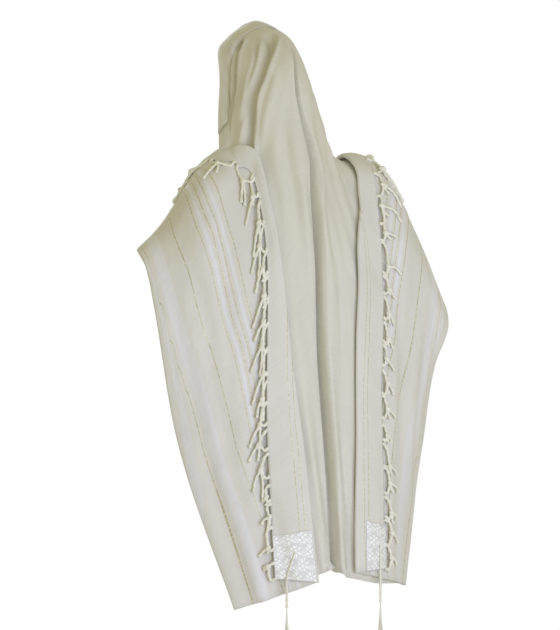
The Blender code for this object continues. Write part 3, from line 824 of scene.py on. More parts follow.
def brocade_relief(x: np.ndarray, y: np.ndarray) -> np.ndarray:
    """Return a woven relief of leaves, rosettes and scrolls, from 0 to 1.

    Args:
        x: Distance across the patch in metres.
        y: Distance down the patch in metres.

    Returns:
        The relief at each place.
    """
    wide, tall = REPEAT
    row = np.floor(y / tall)
    x = x + (row % 2) * wide * 0.5 + 0.003 * np.sin(x * 61.0 + y * 43.0)
    y = y + 0.003 * np.sin(x * 53.0 - y * 37.0)
    row = np.floor(y / tall)
    local_x = (x / wide - np.floor(x / wide) - 0.5) * wide
    local_y = (y / tall - row - 0.5) * tall
    far = np.hypot(local_x, local_y)
    angle = np.arctan2(local_y, local_x)
    petals = 0.0034 * (1 + 0.30 * np.cos(5 * angle + row))
    relief = ease(0.0, 0.0009, petals - far)
    for turn, start in LEAVES:
        shift_x = local_x - start * math.cos(turn)
        shift_y = local_y - start * math.sin(turn)
        bend = 26.0 * (shift_x * math.cos(turn) + shift_y * math.sin(turn)) ** 2
        shift_x, shift_y = shift_x - bend * math.sin(turn), shift_y + bend * math.cos(turn)
        relief = np.maximum(relief, leaf(shift_x, shift_y, 0.0092, 0.0024, turn))
    for centre_x, centre_y, hand in SCROLLS:
        off_x = local_x - centre_x
        off_y = (local_y - centre_y) * hand
        ring = np.hypot(off_x, off_y)
        spiral = np.cos(2 * math.pi * ring / 0.0040 - np.arctan2(off_y, off_x))
        relief = np.maximum(relief, ease(0.15, 0.65, spiral) * ease(0.0074, 0.0060, ring))
    return relief


@dataclass
class CornerPatch:
    """A square of brocade sewn on one corner of the shawl."""

    form: WornForm
    shawl: Shawl
    side: Side
    corner: Place
    skip: float = 0.0
    height: float = 0.0016
    relief: float = 0.0007
    thickness: float = 0.0007
    columns: int = 104
    rows: int = 104

    def limits(self) -> tuple[float, float]:
        """Return the shares between which the patch lies."""
        return (0.901, 0.999) if self.corner is Place.BACK else (-0.999, -0.801)

    def place(self, reach: np.ndarray, shares: np.ndarray, height: np.ndarray) -> np.ndarray:
        """Return points over the third layer at rows of shares and parts of its width."""
        turns, rows, lifts = self.shawl.end_grid(self.side, shares, reach)
        return self.form.place(turns, rows, lifts + height)

    def build(self) -> bpy.types.Object:
        """Build the patch with its woven relief.

        Returns:
            The finished patch.
        """
        shares = np.linspace(*self.limits(), self.rows + 1)
        reach = np.linspace(self.skip + 0.012, 0.992, self.columns + 1)
        flat = self.place(reach, shares, 0.0)
        x = run_lengths(flat[self.rows // 2])
        y = run_lengths(flat[:, self.columns // 2])
        across, down = np.meshgrid(x, y)
        motif = brocade_relief(across + 0.01 * self.side.value, down)
        rim = np.minimum(np.minimum(across, x[-1] - across), np.minimum(down, y[-1] - down))
        body = ease(0.0, 0.0022, rim)
        puff = 0.0005 * np.sin(math.pi * across / x[-1]) * np.sin(math.pi * down / y[-1])
        seam = 0.0005 * np.exp(-((rim - 0.0032) / 0.0008) ** 2)
        height = self.height - 0.0007 * (1 - body) + puff + self.relief * motif * body - seam
        grid = self.place(reach, shares, height)
        patch = grid_object(f"patch_{self.corner.word}_{self.side.word}", grid, across, down)
        mask = patch.data.attributes.new("motif", "FLOAT", "POINT")
        mask.data.foreach_set("value", (motif * body).ravel())
        apply_solidify(patch, self.thickness)
        return patch


@dataclass
class Fringe:
    """One fringed edge: knotted pairs of twisted strands in a row."""

    form: WornForm
    shawl: Shawl
    side: Side
    tassels: int = 28
    spread: float = 0.025
    strand: float = 0.0031
    ridge: float = 0.08
    edge_height: float = 2 * LAYER - END_DROP

    def reaches(self, share: float) -> tuple[float, float, float]:
        """Return how far out the knot lies, and the tails' reach out and down, at a share."""
        if self.side is Side.RIGHT:
            return 0.0135, 0.027, 0.016
        low = float(ease(0.70, 0.80, share))
        return 0.0235 - 0.011 * low, 0.040 - 0.022 * low, 0.048 - 0.028 * low

    def edge(self) -> tuple[np.ndarray, np.ndarray]:
        """Return the edge's shares and the length along it."""
        shares = np.linspace(-1, 1, 401)
        turns, rows, heights = self.shawl.end_grid(self.side, shares, np.array((1.0,)))
        return shares, run_lengths(self.form.place(turns, rows, heights)[:, 0])

    def spot(self, share: float, out: float, drop: float, height: float) -> np.ndarray:
        """Return a point beyond the edge.

        Args:
            share: The share of the edge it belongs to.
            out: How far out it lies, in metres along the cloth.
            drop: How far down it lies, in metres.
            height: Its height over the first layer.

        Returns:
            The point.
        """
        here = np.array((share,))
        _, fringed = self.form.fold_turns(self.side, here)
        row = self.form.lifted(self.side, here, 1.0)
        points = self.form.points
        per_turn = np.linalg.norm(points(fringed + PROBE, row) - points(fringed - PROBE, row))
        per_share = np.linalg.norm(points(fringed, row + PROBE) - points(fringed, row - PROBE))
        fall = np.clip(row / self.ridge, -1, 1)
        turn = fringed + self.side.value * out * 2 * PROBE / per_turn
        share_now = np.clip(row + fall * drop * 2 * PROBE / per_share, -1, 1)
        turn = np.clip(turn, -0.985, 0.985)
        return self.form.place(turn, share_now, np.array((height,)))[0]

    def arc(self, ends: list[np.ndarray], steps: int) -> np.ndarray:
        """Return a smooth path through a few points."""
        ends = np.array(ends)
        knots = run_lengths(ends)
        return hermite(knots, ends, np.linspace(0, knots[-1], steps + 1))

    def build(self) -> bpy.types.Object:
        """Build the whole fringe as one piece.

        Returns:
            The finished fringe.
        """
        rng = np.random.default_rng(7 if self.side is Side.LEFT else 11)
        yarn = YarnBin()
        shares, run = self.edge()
        pitch = run[-1] / self.tassels
        for number in range(self.tassels):
            middle = pitch * (number + 0.5)
            sway = rng.normal(0, 1, 10)
            centre = float(np.interp(middle, run, shares))
            out = self.reaches(centre)[0] * (1 + 0.20 * sway[0])
            down = 0.004 + 0.007 * sway[1]
            knot = self.spot(centre, out, down, LAYER + 0.0068 + 0.0008 * sway[2])
            self.add_roots(yarn, middle, knot, run, shares, sway)
            self.add_knot(yarn, knot, centre, out, down, sway[3])
            self.add_tails(yarn, knot, centre, out, down, sway)
        return yarn.piece(f"fringe_{self.side.word}_yarn")

    def add_roots(self, yarn: YarnBin, middle: float, knot: np.ndarray, run: np.ndarray,
                  shares: np.ndarray, sway: np.ndarray) -> None:
        """Add the two strands that run from the edge to one knot."""
        for way in (-1, 1):
            reach = self.spread * (1 + 0.25 * sway[7 + (way > 0)])
            share = float(np.interp(middle + way * reach, run, shares))
            start = self.spot(share, -0.0020, 0.0, self.edge_height + 0.0016)
            leave = self.spot(share, 0.006, 0.001, self.edge_height + 0.0006 + 0.001 * sway[4])
            path = self.arc([start, leave, knot], 14)
            radii = self.strand * (1.12 - 0.18 * np.linspace(0, 1, len(path)))
            yarn.tube(path, radii, start=sway[5] * way)

    def add_knot(self, yarn: YarnBin, knot: np.ndarray, share: float, out: float, down: float,
                 sway: float) -> None:
        """Add the wound knot that gathers two strands."""
        before = self.spot(share, out - 0.0060, down - 0.0020, LAYER + 0.0066)
        after = self.spot(share, out + 0.0055, down + 0.0035, LAYER + 0.0056)
        path = self.arc([before, knot, after], 14)
        part = np.linspace(0, 1, len(path))
        radii = 0.0018 + 0.0036 * np.sin(math.pi * part) ** 0.75
        yarn.tube(path, radii, sides=12, lobes=3, lobe=0.20, twist=520.0, start=sway)

    def add_tails(self, yarn: YarnBin, knot: np.ndarray, share: float, out: float, down: float,
                  sway: np.ndarray) -> None:
        """Add the two loose tails below one knot, each with a frayed end."""
        _, tail_out, tail_down = self.reaches(share)
        for way in (-1, 1):
            long = 1 + 0.26 * sway[6 + (way > 0)]
            splay = way * (0.0075 + 0.0025 * sway[8])
            end_out = out + tail_out * long * (0.66 + 0.25 * way)
            end_down = down + tail_down * long * (0.80 - 0.20 * way + 0.25 * sway[4]) + splay * 0.3
            half_out, half_down = (out + end_out) / 2 + splay * 0.5, (down + end_down) / 2 - splay * 0.5
            half = self.spot(share, half_out, half_down, LAYER + 0.0048 + 0.0010 * sway[9])
            end = self.spot(share, end_out + splay * 0.4, end_down, LAYER + 0.0034)
            path = self.arc([knot, half, end], 16)
            part = np.linspace(0, 1, len(path))
            radii = self.strand * (1.0 - 0.20 * part + 0.45 * np.exp(-((part - 0.91) / 0.08) ** 2))
            radii[-1] *= 0.5
            yarn.tube(path, radii, twist=380.0, start=way)


# Hole, its part of the layer's width, and the part at the hem, for each tzitzit
HOLES = {(Side.LEFT, Place.BACK): (0.94, 0.50, 0.74), (Side.RIGHT, Place.BACK): (0.95, 0.70, 0.68),
         (Side.LEFT, Place.FRONT): (-0.90, 0.50, 0.50), (Side.RIGHT, Place.FRONT): (-0.90, 0.50, 0.50)}


@dataclass
class Tzitzit:
    """The knotted and wound corner tassel with its eight free strands."""

    form: WornForm
    side: Side
    corner: Place
    winding_length: float = 0.120
    winding_radius: float = 0.0022
    strand: float = 0.0009
    strand_length: float = 0.200
    spread: float = 0.008
    lift: float = 0.0053
    knot_places: tuple[float, ...] = (0.05, 0.24, 0.46, 0.72, 0.97)

    def route(self) -> np.ndarray:
        """Return the middle line of the windings, from the hole over the hem and down."""
        height = self.lift + 2 * LAYER
        hole_share, hole_reach, hem_reach = HOLES[self.side, self.corner]
        points = []
        for share, reach in ((hole_share, hole_reach), (float(self.corner.value), hem_reach)):
            here = np.array((share,))
            inner, fringed = self.form.fold_turns(self.side, here)
            turn = inner + (fringed - inner) * reach
            row = self.form.lifted(self.side, here, reach)
            over = height - settle(np.array(reach))
            spot = self.form.points(turn, row) + self.form.normals(turn, row) * over
            points.append(spot[0])
        gone = float(np.linalg.norm(points[1] - points[0]))
        fall = np.array((0.0, 0.0, gone - self.winding_length))
        points += [points[1] + fall * 0.5, points[1] + fall]
        return np.array(points)

    def build(self) -> bpy.types.Object:
        """Build the tassel with its windings, double knots and strands.

        Returns:
            The finished tassel.
        """
        corner = 0 if self.corner is Place.BACK else 2
        rng = np.random.default_rng(21 + corner + self.side.value)
        yarn = YarnBin()
        coarse = self.route()
        knots = run_lengths(coarse)
        hem, total = knots[1], knots[-1]
        run = np.linspace(0, total, 361)
        path = hermite(knots, coarse, run)
        radii = np.full(len(path), self.winding_radius)
        radii[run < hem] *= 0.72
        for place in hem + (total - hem) * np.array(self.knot_places):
            radii += 0.0012 * np.exp(-((run - place) / 0.0022) ** 2)
        yarn.tube(path, radii, sides=10, lobes=1, lobe=0.16, twist=2900.0)
        self.add_hole_loop(yarn, coarse[0], path[1] - path[0])
        end = path[-1]
        for number in range(8):
            angle = 2 * math.pi * (number + 0.5) / 8
            out = np.array((math.cos(angle), math.sin(angle), 0.0))
            reach = self.spread * (0.75 + 0.35 * rng.random())
            long = self.strand_length * (1 - 0.12 * ((number * 3) % 8) / 8)
            part = np.linspace(0, 1, 41)
            wave = 0.0016 * np.sin(2 * math.pi * (part * (2.2 + rng.random()) + rng.random()))
            curl = 0.0014 * np.sin(2 * math.pi * (part * (3.1 + rng.random()) + rng.random()))
            side = np.array((-out[1], out[0], 0.0))
            line = (end + out * (reach * ease(0, 0.55, part) * (1 - 0.25 * part) + wave * part)[:, None]
                    + side * (curl * part)[:, None] + np.array((0, 0, -long)) * part[:, None])
            size = self.strand * (1 + 0.9 * np.exp(-((part - 0.975) / 0.012) ** 2))
            size[-1] *= 0.5
            yarn.tube(line, size, sides=6, lobes=2, lobe=0.18, twist=900.0, start=angle)
        return yarn.piece(f"tzitzit_{self.corner.word}_{self.side.word}_yarn")

    def add_hole_loop(self, yarn: YarnBin, hole: np.ndarray, heading: np.ndarray) -> None:
        """Add the short end that dives into the cloth at the hole."""
        heading = heading / np.linalg.norm(heading)
        behind = hole - heading * 0.003
        path = np.linspace(behind, hole + heading * 0.004, 7)
        yarn.tube(path, np.full(7, self.winding_radius * 0.8), sides=8)


def new_group(name: str, inputs: dict[str, float], output: str, kind: str = "NodeSocketFloat") -> tuple:
    """Make a shader node group with float inputs and one output.

    Args:
        name: The group's name.
        inputs: Each input's name and first value.
        output: The output's name.
        kind: The output's socket type.

    Returns:
        The group, its input node and its output node.
    """
    group = bpy.data.node_groups.new(name, "ShaderNodeTree")
    for label, value in inputs.items():
        socket = group.interface.new_socket(name=label, in_out="INPUT", socket_type="NodeSocketFloat")
        socket.default_value = value
    group.interface.new_socket(name=output, in_out="OUTPUT", socket_type=kind)
    return group, group.nodes.new("NodeGroupInput"), group.nodes.new("NodeGroupOutput")


class Nodes:
    """Short ways to add and link the nodes of one tree."""

    def __init__(self, tree: bpy.types.NodeTree) -> None:
        """Keep the tree that nodes are added to."""
        self.tree = tree

    def add(self, kind: str, **settings: object) -> bpy.types.Node:
        """Add a node with settings."""
        node = self.tree.nodes.new(kind)
        for name, value in settings.items():
            setattr(node, name, value)
        return node

    def feed(self, socket: bpy.types.NodeSocket, source: object) -> None:
        """Link a source to a socket, or set the socket to a plain value."""
        if isinstance(source, bpy.types.NodeSocket):
            self.tree.links.new(source, socket)
        else:
            socket.default_value = source

    def fill(self, node: bpy.types.Node, inputs: dict[str, object]) -> None:
        """Feed several named inputs of a node."""
        for name, source in inputs.items():
            self.feed(node.inputs[name], source)

    def split(self, vector: object) -> tuple[bpy.types.NodeSocket, bpy.types.NodeSocket]:
        """Return the first two coordinates of a vector."""
        parts = self.add("ShaderNodeSeparateXYZ")
        self.feed(parts.inputs[0], vector)
        return parts.outputs[0], parts.outputs[1]

    def nearer(self, value: object, span: float) -> bpy.types.NodeSocket:
        """Return the distance from the nearer end of a span."""
        return self.math("MINIMUM", value, self.math("SUBTRACT", span, value))

    def math(self, operation: str, first: object, second: object = None) -> bpy.types.NodeSocket:
        """Add a Math node and return its result."""
        node = self.add("ShaderNodeMath", operation=operation)
        self.feed(node.inputs[0], first)
        if second is not None:
            self.feed(node.inputs[1], second)
        return node.outputs[0]

    def blend(self, factor: object, first: object, second: object) -> bpy.types.NodeSocket:
        """Mix two colours and return the result."""
        node = self.add("ShaderNodeMix", data_type="RGBA")
        self.feed(node.inputs[0], factor)
        self.feed(node.inputs[6], first)
        self.feed(node.inputs[7], second)
        return node.outputs[2]

    def between(self, value: object, low: object, high: object, start: float = 0.0,
                end: float = 1.0) -> bpy.types.NodeSocket:
        """Map a value smoothly from a range to another and return the result."""
        node = self.add("ShaderNodeMapRange", interpolation_type="SMOOTHSTEP")
        for index, source in enumerate((value, low, high, start, end)):
            self.feed(node.inputs[index], source)
        return node.outputs[0]

    def noise(self, vector: object, scale: float, detail: float = 2.0,
              rough: float = 0.5) -> bpy.types.NodeSocket:
        """Add a noise texture and return its value."""
        node = self.add("ShaderNodeTexNoise")
        self.fill(node, {"Vector": vector, "Scale": scale, "Detail": detail, "Roughness": rough})
        return node.outputs[0]

    def stretch(self, vector: object, scale: tuple[float, float, float]) -> bpy.types.NodeSocket:
        """Scale coordinates with a Mapping node."""
        node = self.add("ShaderNodeMapping")
        self.fill(node, {"Vector": vector, "Scale": scale})
        return node.outputs[0]

    def group(self, group: bpy.types.NodeTree, **inputs: object) -> bpy.types.NodeSocket:
        """Add a group with its inputs and return its output."""
        node = self.add("ShaderNodeGroup")
        node.node_tree = group
        for name, source in inputs.items():
            self.feed(node.inputs[name.replace("_", " ").title()], source)
        return node.outputs[0]

    def bump(self, height: object, strength: float, distance: float,
             normal: object = None) -> bpy.types.NodeSocket:
        """Add a Bump node and return its normal."""
        node = self.add("ShaderNodeBump")
        self.fill(node, {"Strength": strength, "Distance": distance, "Height": height})
        if normal is not None:
            self.feed(node.inputs["Normal"], normal)
        return node.outputs[0]


@lru_cache(maxsize=None)
def stripe_group() -> bpy.types.NodeTree:
    """Return the group that masks one woven stripe by its distance from the fringed edge."""
    group, entry, leave = new_group("woven_stripe", {"Distance": 0.0, "Centre": 0.1, "Half Width": 0.001,
                                                     "Softness": 0.001}, "Mask")
    nodes = Nodes(group)
    gap = nodes.math("ABSOLUTE", nodes.math("SUBTRACT", entry.outputs["Distance"], entry.outputs["Centre"]))
    limit = nodes.math("ADD", entry.outputs["Half Width"], entry.outputs["Softness"])
    mask = nodes.between(gap, entry.outputs["Half Width"], limit, 1.0, 0.0)
    nodes.feed(leave.inputs[0], mask)
    return group


@lru_cache(maxsize=None)
def weave_group() -> bpy.types.NodeTree:
    """Return the group that gives a plain weave's height from threads across and down."""
    group, entry, leave = new_group("plain_weave", {"Across": 0.0, "Down": 0.0, "Pitch": 0.001}, "Height")
    nodes = Nodes(group)
    turn = nodes.math("DIVIDE", 2 * math.pi, entry.outputs["Pitch"])
    warp = nodes.math("SINE", nodes.math("MULTIPLY", entry.outputs["Across"], turn))
    weft = nodes.math("SINE", nodes.math("MULTIPLY", entry.outputs["Down"], turn))
    both = nodes.math("ADD", nodes.math("MULTIPLY", warp, weft), nodes.math("MULTIPLY", weft, 0.6))
    nodes.feed(leave.inputs[0], nodes.math("MULTIPLY_ADD", both, 0.3))
    return group


def new_material(name: str, sheen: float = 0.0) -> tuple[bpy.types.Material, Nodes, bpy.types.Node]:
    """Make a material and return it with its node helper and its Principled shader."""
    material = bpy.data.materials.new(name)
    material.use_nodes = True
    shader = material.node_tree.nodes["Principled BSDF"]
    shader.inputs["Sheen Weight"].default_value = sheen
    return material, Nodes(material.node_tree), shader


Colour = tuple[float, float, float, float]


@dataclass(frozen=True)
class Stripe:
    """One woven stripe: its middle, half width and soft edge from the fringed edge."""

    centre: float
    half: float
    soft: float
    strength: float = 1.0


WHITE_STRIPES = (
    Stripe(0.167, 0.0028, 0.0024),
    Stripe(0.1857, 0.0009, 0.0014, 0.8),
    Stripe(0.2065, 0.0034, 0.0026),
    Stripe(0.325, 0.01, 0.008, 0.75),
    Stripe(0.392, 0.01, 0.008, 0.65),
)
GOLD_STRIPES = (
    Stripe(0.06, 0.0004, 0.0006),
    Stripe(0.073, 0.0004, 0.0006),
    Stripe(0.152, 0.0006, 0.0007),
    Stripe(0.1796, 0.0005, 0.0006),
    Stripe(0.195, 0.0005, 0.0006),
    Stripe(0.2195, 0.0006, 0.0007),
    Stripe(0.2735, 0.0007, 0.0007),
    Stripe(0.3535, 0.0008, 0.0007),
)


@dataclass(frozen=True)
class WoolFinish:
    """Fine ivory wool with white and gold stripes near both fringed edges, with painted shade towards the
    middle and painted glints on the gold.
    """

    # The middle colour is darker and warmer than the ends: painted shade of the single layer over the back.
    middle: Colour = (0.700, 0.680, 0.590, 1.0)
    ends: Colour = (0.715, 0.695, 0.635, 1.0)
    white: Colour = (0.760, 0.755, 0.775, 1.0)
    gold: Colour = (0.440, 0.395, 0.190, 1.0)
    glint: Colour = (0.780, 0.750, 0.560, 1.0)
    hem: Colour = (0.760, 0.745, 0.680, 1.0)

    def masks(self, nodes: Nodes, distance: object, stripes: tuple[Stripe, ...]) -> bpy.types.NodeSocket:
        """Return the mask of several stripes at once."""
        total = None
        for stripe in stripes:
            mask = nodes.group(stripe_group(), distance=distance, centre=stripe.centre,
                               half_width=stripe.half, softness=stripe.soft)
            mask = nodes.math("MULTIPLY", mask, stripe.strength)
            total = mask if total is None else nodes.math("MAXIMUM", total, mask)
        return total

    def material(self) -> bpy.types.Material:
        """Return the wool's material."""
        material, nodes, shader = new_material("ivory_wool_weave", 0.22)
        place = nodes.add("ShaderNodeUVMap", uv_map="cloth")
        metres = nodes.stretch(place.outputs[0], (CLOTH_WIDTH, CLOTH_WIDTH, 1.0))
        across, down = nodes.split(metres)
        distance = nodes.nearer(across, CLOTH_WIDTH)
        white = self.masks(nodes, distance, WHITE_STRIPES)
        gold = self.masks(nodes, distance, GOLD_STRIPES)
        # Towards the middle the ground turns darker and warmer: painted shade.
        inner = nodes.between(distance, 0.42, 0.60)
        ground = nodes.blend(inner, self.ends, self.middle)
        slub = nodes.noise(nodes.stretch(metres, (14.0, 520.0, 1.0)), 1.0, 3.0, 0.6)
        cloud = nodes.noise(metres, 9.0, 3.0, 0.55)
        shade = nodes.math("ADD", nodes.between(slub, 0.3, 0.7, 0.965, 1.02),
                           nodes.between(cloud, 0.3, 0.7, -0.02, 0.02))
        colour = nodes.blend(white, ground, self.white)
        # Broken spots along the gold threads take the lighter glint colour: painted glints.
        glint_spots = nodes.noise(nodes.stretch(metres, (60.0, 260.0, 1.0)), 1.0, 2.0)
        metal = nodes.blend(nodes.between(glint_spots, 0.42, 0.66), self.gold, self.glint)
        colour = nodes.blend(nodes.math("MULTIPLY", gold, 0.85), colour, metal)
        hem = nodes.between(nodes.nearer(down, CLOTH_LENGTH), 0.0035, 0.0050, 0.7, 0.0)
        colour = nodes.blend(hem, colour, self.hem)
        tint = nodes.add("ShaderNodeVectorMath", operation="SCALE")
        nodes.fill(tint, {"Vector": colour, "Scale": shade})
        nodes.feed(shader.inputs["Base Color"], tint.outputs[0])
        nodes.feed(shader.inputs["Metallic"], nodes.math("MULTIPLY", gold, 0.35))
        woven = nodes.math("MAXIMUM", gold, white)
        rough = nodes.math("SUBTRACT", 0.78, nodes.math("MULTIPLY", woven, 0.22))
        nodes.feed(shader.inputs["Roughness"], rough)
        weave = nodes.group(weave_group(), across=across, down=down, pitch=0.0011)
        normal = nodes.bump(weave, 0.18, 0.00025)
        ribs = nodes.math("ADD", slub, nodes.math("MULTIPLY", woven, 0.5))
        normal = nodes.bump(ribs, 0.25, 0.0004, normal)
        crumple = nodes.noise(nodes.stretch(metres, (26.0, 15.0, 1.0)), 1.0, 3.0, 0.5)
        normal = nodes.bump(crumple, 0.55, 0.0030, normal)
        nodes.feed(shader.inputs["Normal"], normal)
        shader.inputs["Sheen Roughness"].default_value = 0.45
        shader.inputs["Specular IOR Level"].default_value = 0.25
        return material


@dataclass(frozen=True)
class BandFinish:
    """Close ivory band cloth with a row of stitches along each edge."""

    ground: Colour = (0.680, 0.660, 0.570, 1.0)
    thread: Colour = (0.760, 0.745, 0.680, 1.0)

    def material(self) -> bpy.types.Material:
        """Return the band's material."""
        material, nodes, shader = new_material("ivory_band_weave", 0.15)
        place = nodes.add("ShaderNodeUVMap", uv_map="cloth")
        across, down = nodes.split(place.outputs[0])
        edge = nodes.nearer(down, BAND_SIZE[1])
        line = nodes.group(stripe_group(), distance=edge, centre=0.004, half_width=0.0004, softness=0.0004)
        beat = nodes.math("SINE", nodes.math("MULTIPLY", across, 2 * math.pi / 0.004))
        stitch = nodes.math("MULTIPLY", line, nodes.between(beat, -0.4, 0.2))
        cloud = nodes.noise(place.outputs[0], 30.0, 3.0)
        colour = nodes.blend(nodes.between(cloud, 0.3, 0.7, 0.0, 0.15), self.ground, self.thread)
        nodes.feed(shader.inputs["Base Color"], nodes.blend(stitch, colour, self.thread))
        nodes.feed(shader.inputs["Roughness"], nodes.between(cloud, 0.3, 0.7, 0.55, 0.65))
        weave = nodes.group(weave_group(), across=across, down=down, pitch=0.0012)
        normal = nodes.bump(weave, 0.2, 0.0003)
        nodes.feed(shader.inputs["Normal"], nodes.bump(stitch, 0.6, 0.0006, normal))
        return material


@dataclass(frozen=True)
class BrocadeFinish:
    """White satin brocade whose raised woven motif is painted brighter than its sunken ground: painted sheen
    and painted shade.
    """

    ground: Colour = (0.715, 0.715, 0.695, 1.0)
    motif: Colour = (0.950, 0.950, 0.935, 1.0)

    def material(self) -> bpy.types.Material:
        """Return the brocade's material."""
        material, nodes, shader = new_material("white_brocade_satin", 0.1)
        place = nodes.add("ShaderNodeUVMap", uv_map="cloth")
        mask = nodes.add("ShaderNodeAttribute", attribute_name="motif")
        # The raised motif takes the brighter colour as painted sheen, and the ground between it the darker one
        # as painted shade.
        raised = nodes.between(mask.outputs["Fac"], 0.1, 0.6)
        nodes.feed(shader.inputs["Base Color"], nodes.blend(raised, self.ground, self.motif))
        nodes.feed(shader.inputs["Roughness"], nodes.between(raised, 0.0, 1.0, 0.48, 0.30))
        across, down = nodes.split(place.outputs[0])
        weave = nodes.group(weave_group(), across=across, down=down, pitch=0.0009)
        nodes.feed(shader.inputs["Normal"], nodes.bump(weave, 0.2, 0.0003))
        return material


@dataclass(frozen=True)
class YarnFinish:
    """Cream twisted yarn, painted darker along the grooves between its plies as painted shade, with random
    clouds of tone.
    """

    bright: Colour = (0.880, 0.865, 0.760, 1.0)
    groove_shade_and_tone: Colour = (0.700, 0.675, 0.530, 1.0)

    def material(self) -> bpy.types.Material:
        """Return the yarn's material."""
        material, nodes, shader = new_material("cream_twisted_yarn", 0.2)
        place = nodes.add("ShaderNodeUVMap", uv_map="yarn")
        along, around = nodes.split(place.outputs[0])
        slant = nodes.math("ADD", nodes.math("MULTIPLY", along, 1500.0),
                           nodes.math("MULTIPLY", around, 8 * math.pi))
        ply_grooves = nodes.math("SINE", slant)
        spot = nodes.add("ShaderNodeTexCoord")
        fuzz = nodes.noise(spot.outputs["Object"], 900.0, 3.0, 0.6)
        cloud = nodes.noise(spot.outputs["Object"], 45.0, 2.0)
        # The darker colour is painted along the ply grooves as painted shade, and in random clouds as the
        # yarn's own tone.
        mask = nodes.math("ADD", nodes.between(ply_grooves, -1.0, 0.2, 0.55, 0.0),
                          nodes.between(cloud, 0.35, 0.7, 0.0, 0.25))
        nodes.feed(shader.inputs["Base Color"], nodes.blend(mask, self.bright, self.groove_shade_and_tone))
        nodes.feed(shader.inputs["Roughness"], nodes.between(fuzz, 0.3, 0.7, 0.72, 0.88))
        normal = nodes.bump(ply_grooves, 0.35, 0.0003)
        nodes.feed(shader.inputs["Normal"], nodes.bump(fuzz, 0.4, 0.0004, normal))
        return material


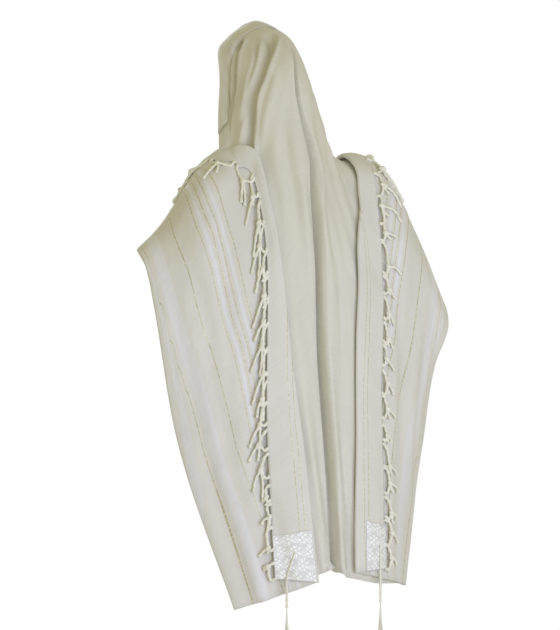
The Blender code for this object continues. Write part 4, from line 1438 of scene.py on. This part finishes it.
@dataclass
class Studio:
    """Pale floor, soft light and the camera at the photo's angle."""

    azimuth: float = -25.0
    away: float = 10.0
    height: float = 1.370
    side: float = 0.05
    depth: float = -0.10
    middle: float = -0.637
    floor: float = -1.75
    aim: tuple[float, float, float] = (0.03, -0.1, -0.6)
    glow: float = 0.52
    sky: Colour = (1.0, 0.955, 0.62, 1.0)

    def axes(self) -> tuple[Vector, Vector]:
        """Return the camera's right and the direction away from it."""
        angle = math.radians(self.azimuth)
        return (Vector((math.cos(angle), math.sin(angle), 0)), Vector((-math.sin(angle), math.cos(angle), 0)))

    def camera(self) -> None:
        """Add the camera."""
        right, away = self.axes()
        data = bpy.data.cameras.new("camera")
        data.sensor_fit = "VERTICAL"
        data.sensor_height = 36.0
        data.sensor_width = 32.0
        data.lens = data.sensor_height * self.away / self.height
        target = right * self.side + away * self.depth + Vector((0, 0, self.middle))
        camera = bpy.data.objects.new("camera", data)
        camera.location = target - away * self.away
        camera.rotation_euler = (math.pi / 2, 0, math.radians(self.azimuth))
        bpy.context.collection.objects.link(camera)
        bpy.context.scene.camera = camera

    def lamp(self, name: str, across: float, toward: float, up: float, size: float, power: float,
             colour: tuple[float, float, float]) -> None:
        """Add one soft square lamp, placed in the camera's own directions, aimed at the shawl."""
        right, away = self.axes()
        aim = Vector(self.aim)
        place = aim + right * across - away * toward + Vector((0, 0, up))
        data = bpy.data.lights.new(name, "AREA")
        data.size = size
        data.energy = power
        data.color = colour
        lamp = bpy.data.objects.new(name, data)
        lamp.visible_camera = False
        lamp.location = place
        lamp.rotation_euler = (place - aim).to_track_quat("Z", "Y").to_euler()
        bpy.context.collection.objects.link(lamp)

    def world(self) -> None:
        """Set a white backdrop that lights the shawl softly."""
        world = bpy.data.worlds.new("studio")
        world.use_nodes = True
        nodes = Nodes(world.node_tree)
        world.node_tree.nodes.clear()
        seen = nodes.add("ShaderNodeBackground")
        soft = nodes.add("ShaderNodeBackground")
        nodes.fill(seen, {"Strength": 1.0, "Color": (1.0, 1.0, 1.0, 1.0)})
        nodes.fill(soft, {"Strength": self.glow, "Color": self.sky})
        path = nodes.add("ShaderNodeLightPath")
        mix = nodes.add("ShaderNodeMixShader")
        leave = nodes.add("ShaderNodeOutputWorld")
        nodes.feed(mix.inputs[0], path.outputs["Is Camera Ray"])
        nodes.feed(mix.inputs[1], soft.outputs[0])
        nodes.feed(mix.inputs[2], seen.outputs[0])
        nodes.feed(leave.inputs[0], mix.outputs[0])
        bpy.context.scene.world = world

    def floor_sheet(self) -> None:
        """Add the pale floor."""
        bpy.ops.mesh.primitive_plane_add(size=5.0, location=(0, 0, self.floor))
        floor = bpy.context.active_object
        floor.name = "floor"
        material, nodes, shader = new_material("pale_floor")
        spot = nodes.add("ShaderNodeTexCoord")
        cloud = nodes.noise(spot.outputs["Object"], 3.0)
        nodes.feed(shader.inputs["Base Color"],
                   nodes.blend(cloud, (0.80, 0.80, 0.80, 1.0), (0.84, 0.84, 0.83, 1.0)))
        shader.inputs["Roughness"].default_value = 0.7
        floor.data.materials.append(material)

    def build(self) -> None:
        """Set up the whole studio."""
        self.camera()
        self.world()
        self.floor_sheet()
        self.lamp("key", across=1.5, toward=3.0, up=-0.2, size=2.4, power=68.0, colour=(0.66, 0.70, 1.0))
        self.lamp("front", across=-1.0, toward=-3.0, up=0.9, size=2.4, power=55.0, colour=(0.70, 0.75, 1.0))
        bpy.context.scene.view_settings.view_transform = "Standard"


def finish_piece(piece: bpy.types.Object, material: bpy.types.Material, slot: str, *nodes: str) -> None:
    """Dress a piece, fix it to the root body and let it stand for CAD nodes.

    Args:
        piece: The finished piece.
        material: Its finish.
        slot: Not used.
        nodes: The CAD nodes that it replaces.
    """
    piece.data.materials.append(material)
    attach(piece, "root")
    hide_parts(*nodes)
    LOG.info("%s: %d faces", piece.name, len(piece.data.polygons))


def main() -> None:
    """Build the shawl's cloth, band, patches, fringes and tzitzit, and the studio."""
    logging.basicConfig(level=logging.INFO, format="%(name)s %(message)s")
    form = WornForm()
    shawl = Shawl(form)
    Studio().build()
    wool = WoolFinish().material()
    brocade = BrocadeFinish().material()
    yarn = YarnFinish().material()

    cloth = shawl.build()
    finish_piece(cloth, wool, "wool", "hood", "back", "left_front", "right_front", "left_fold",
                 "right_fold", "left_end", "right_end")
    band = Atara(form, shawl).build()
    finish_piece(band, BandFinish().material(), "band", "atara")
    trims = [band]
    for side in Side:
        fringe = Fringe(form, shawl, side).build()
        finish_piece(fringe, yarn, "yarn", f"fringe_{side.word}")
        trims.append(fringe)
        for corner in Place:
            skip = 0.25 if (side, corner) == (Side.RIGHT, Place.BACK) else 0.0
            patch = CornerPatch(form, shawl, side, corner, skip).build()
            finish_piece(patch, brocade, "brocade", f"corner_patch_{corner.word}_{side.word}")
            tassel = Tzitzit(form, side, corner).build()
            finish_piece(tassel, yarn, "yarn", f"tzitzit_{corner.word}_{side.word}")
            trims += [patch, tassel]


if __name__ == "__main__":
    main()
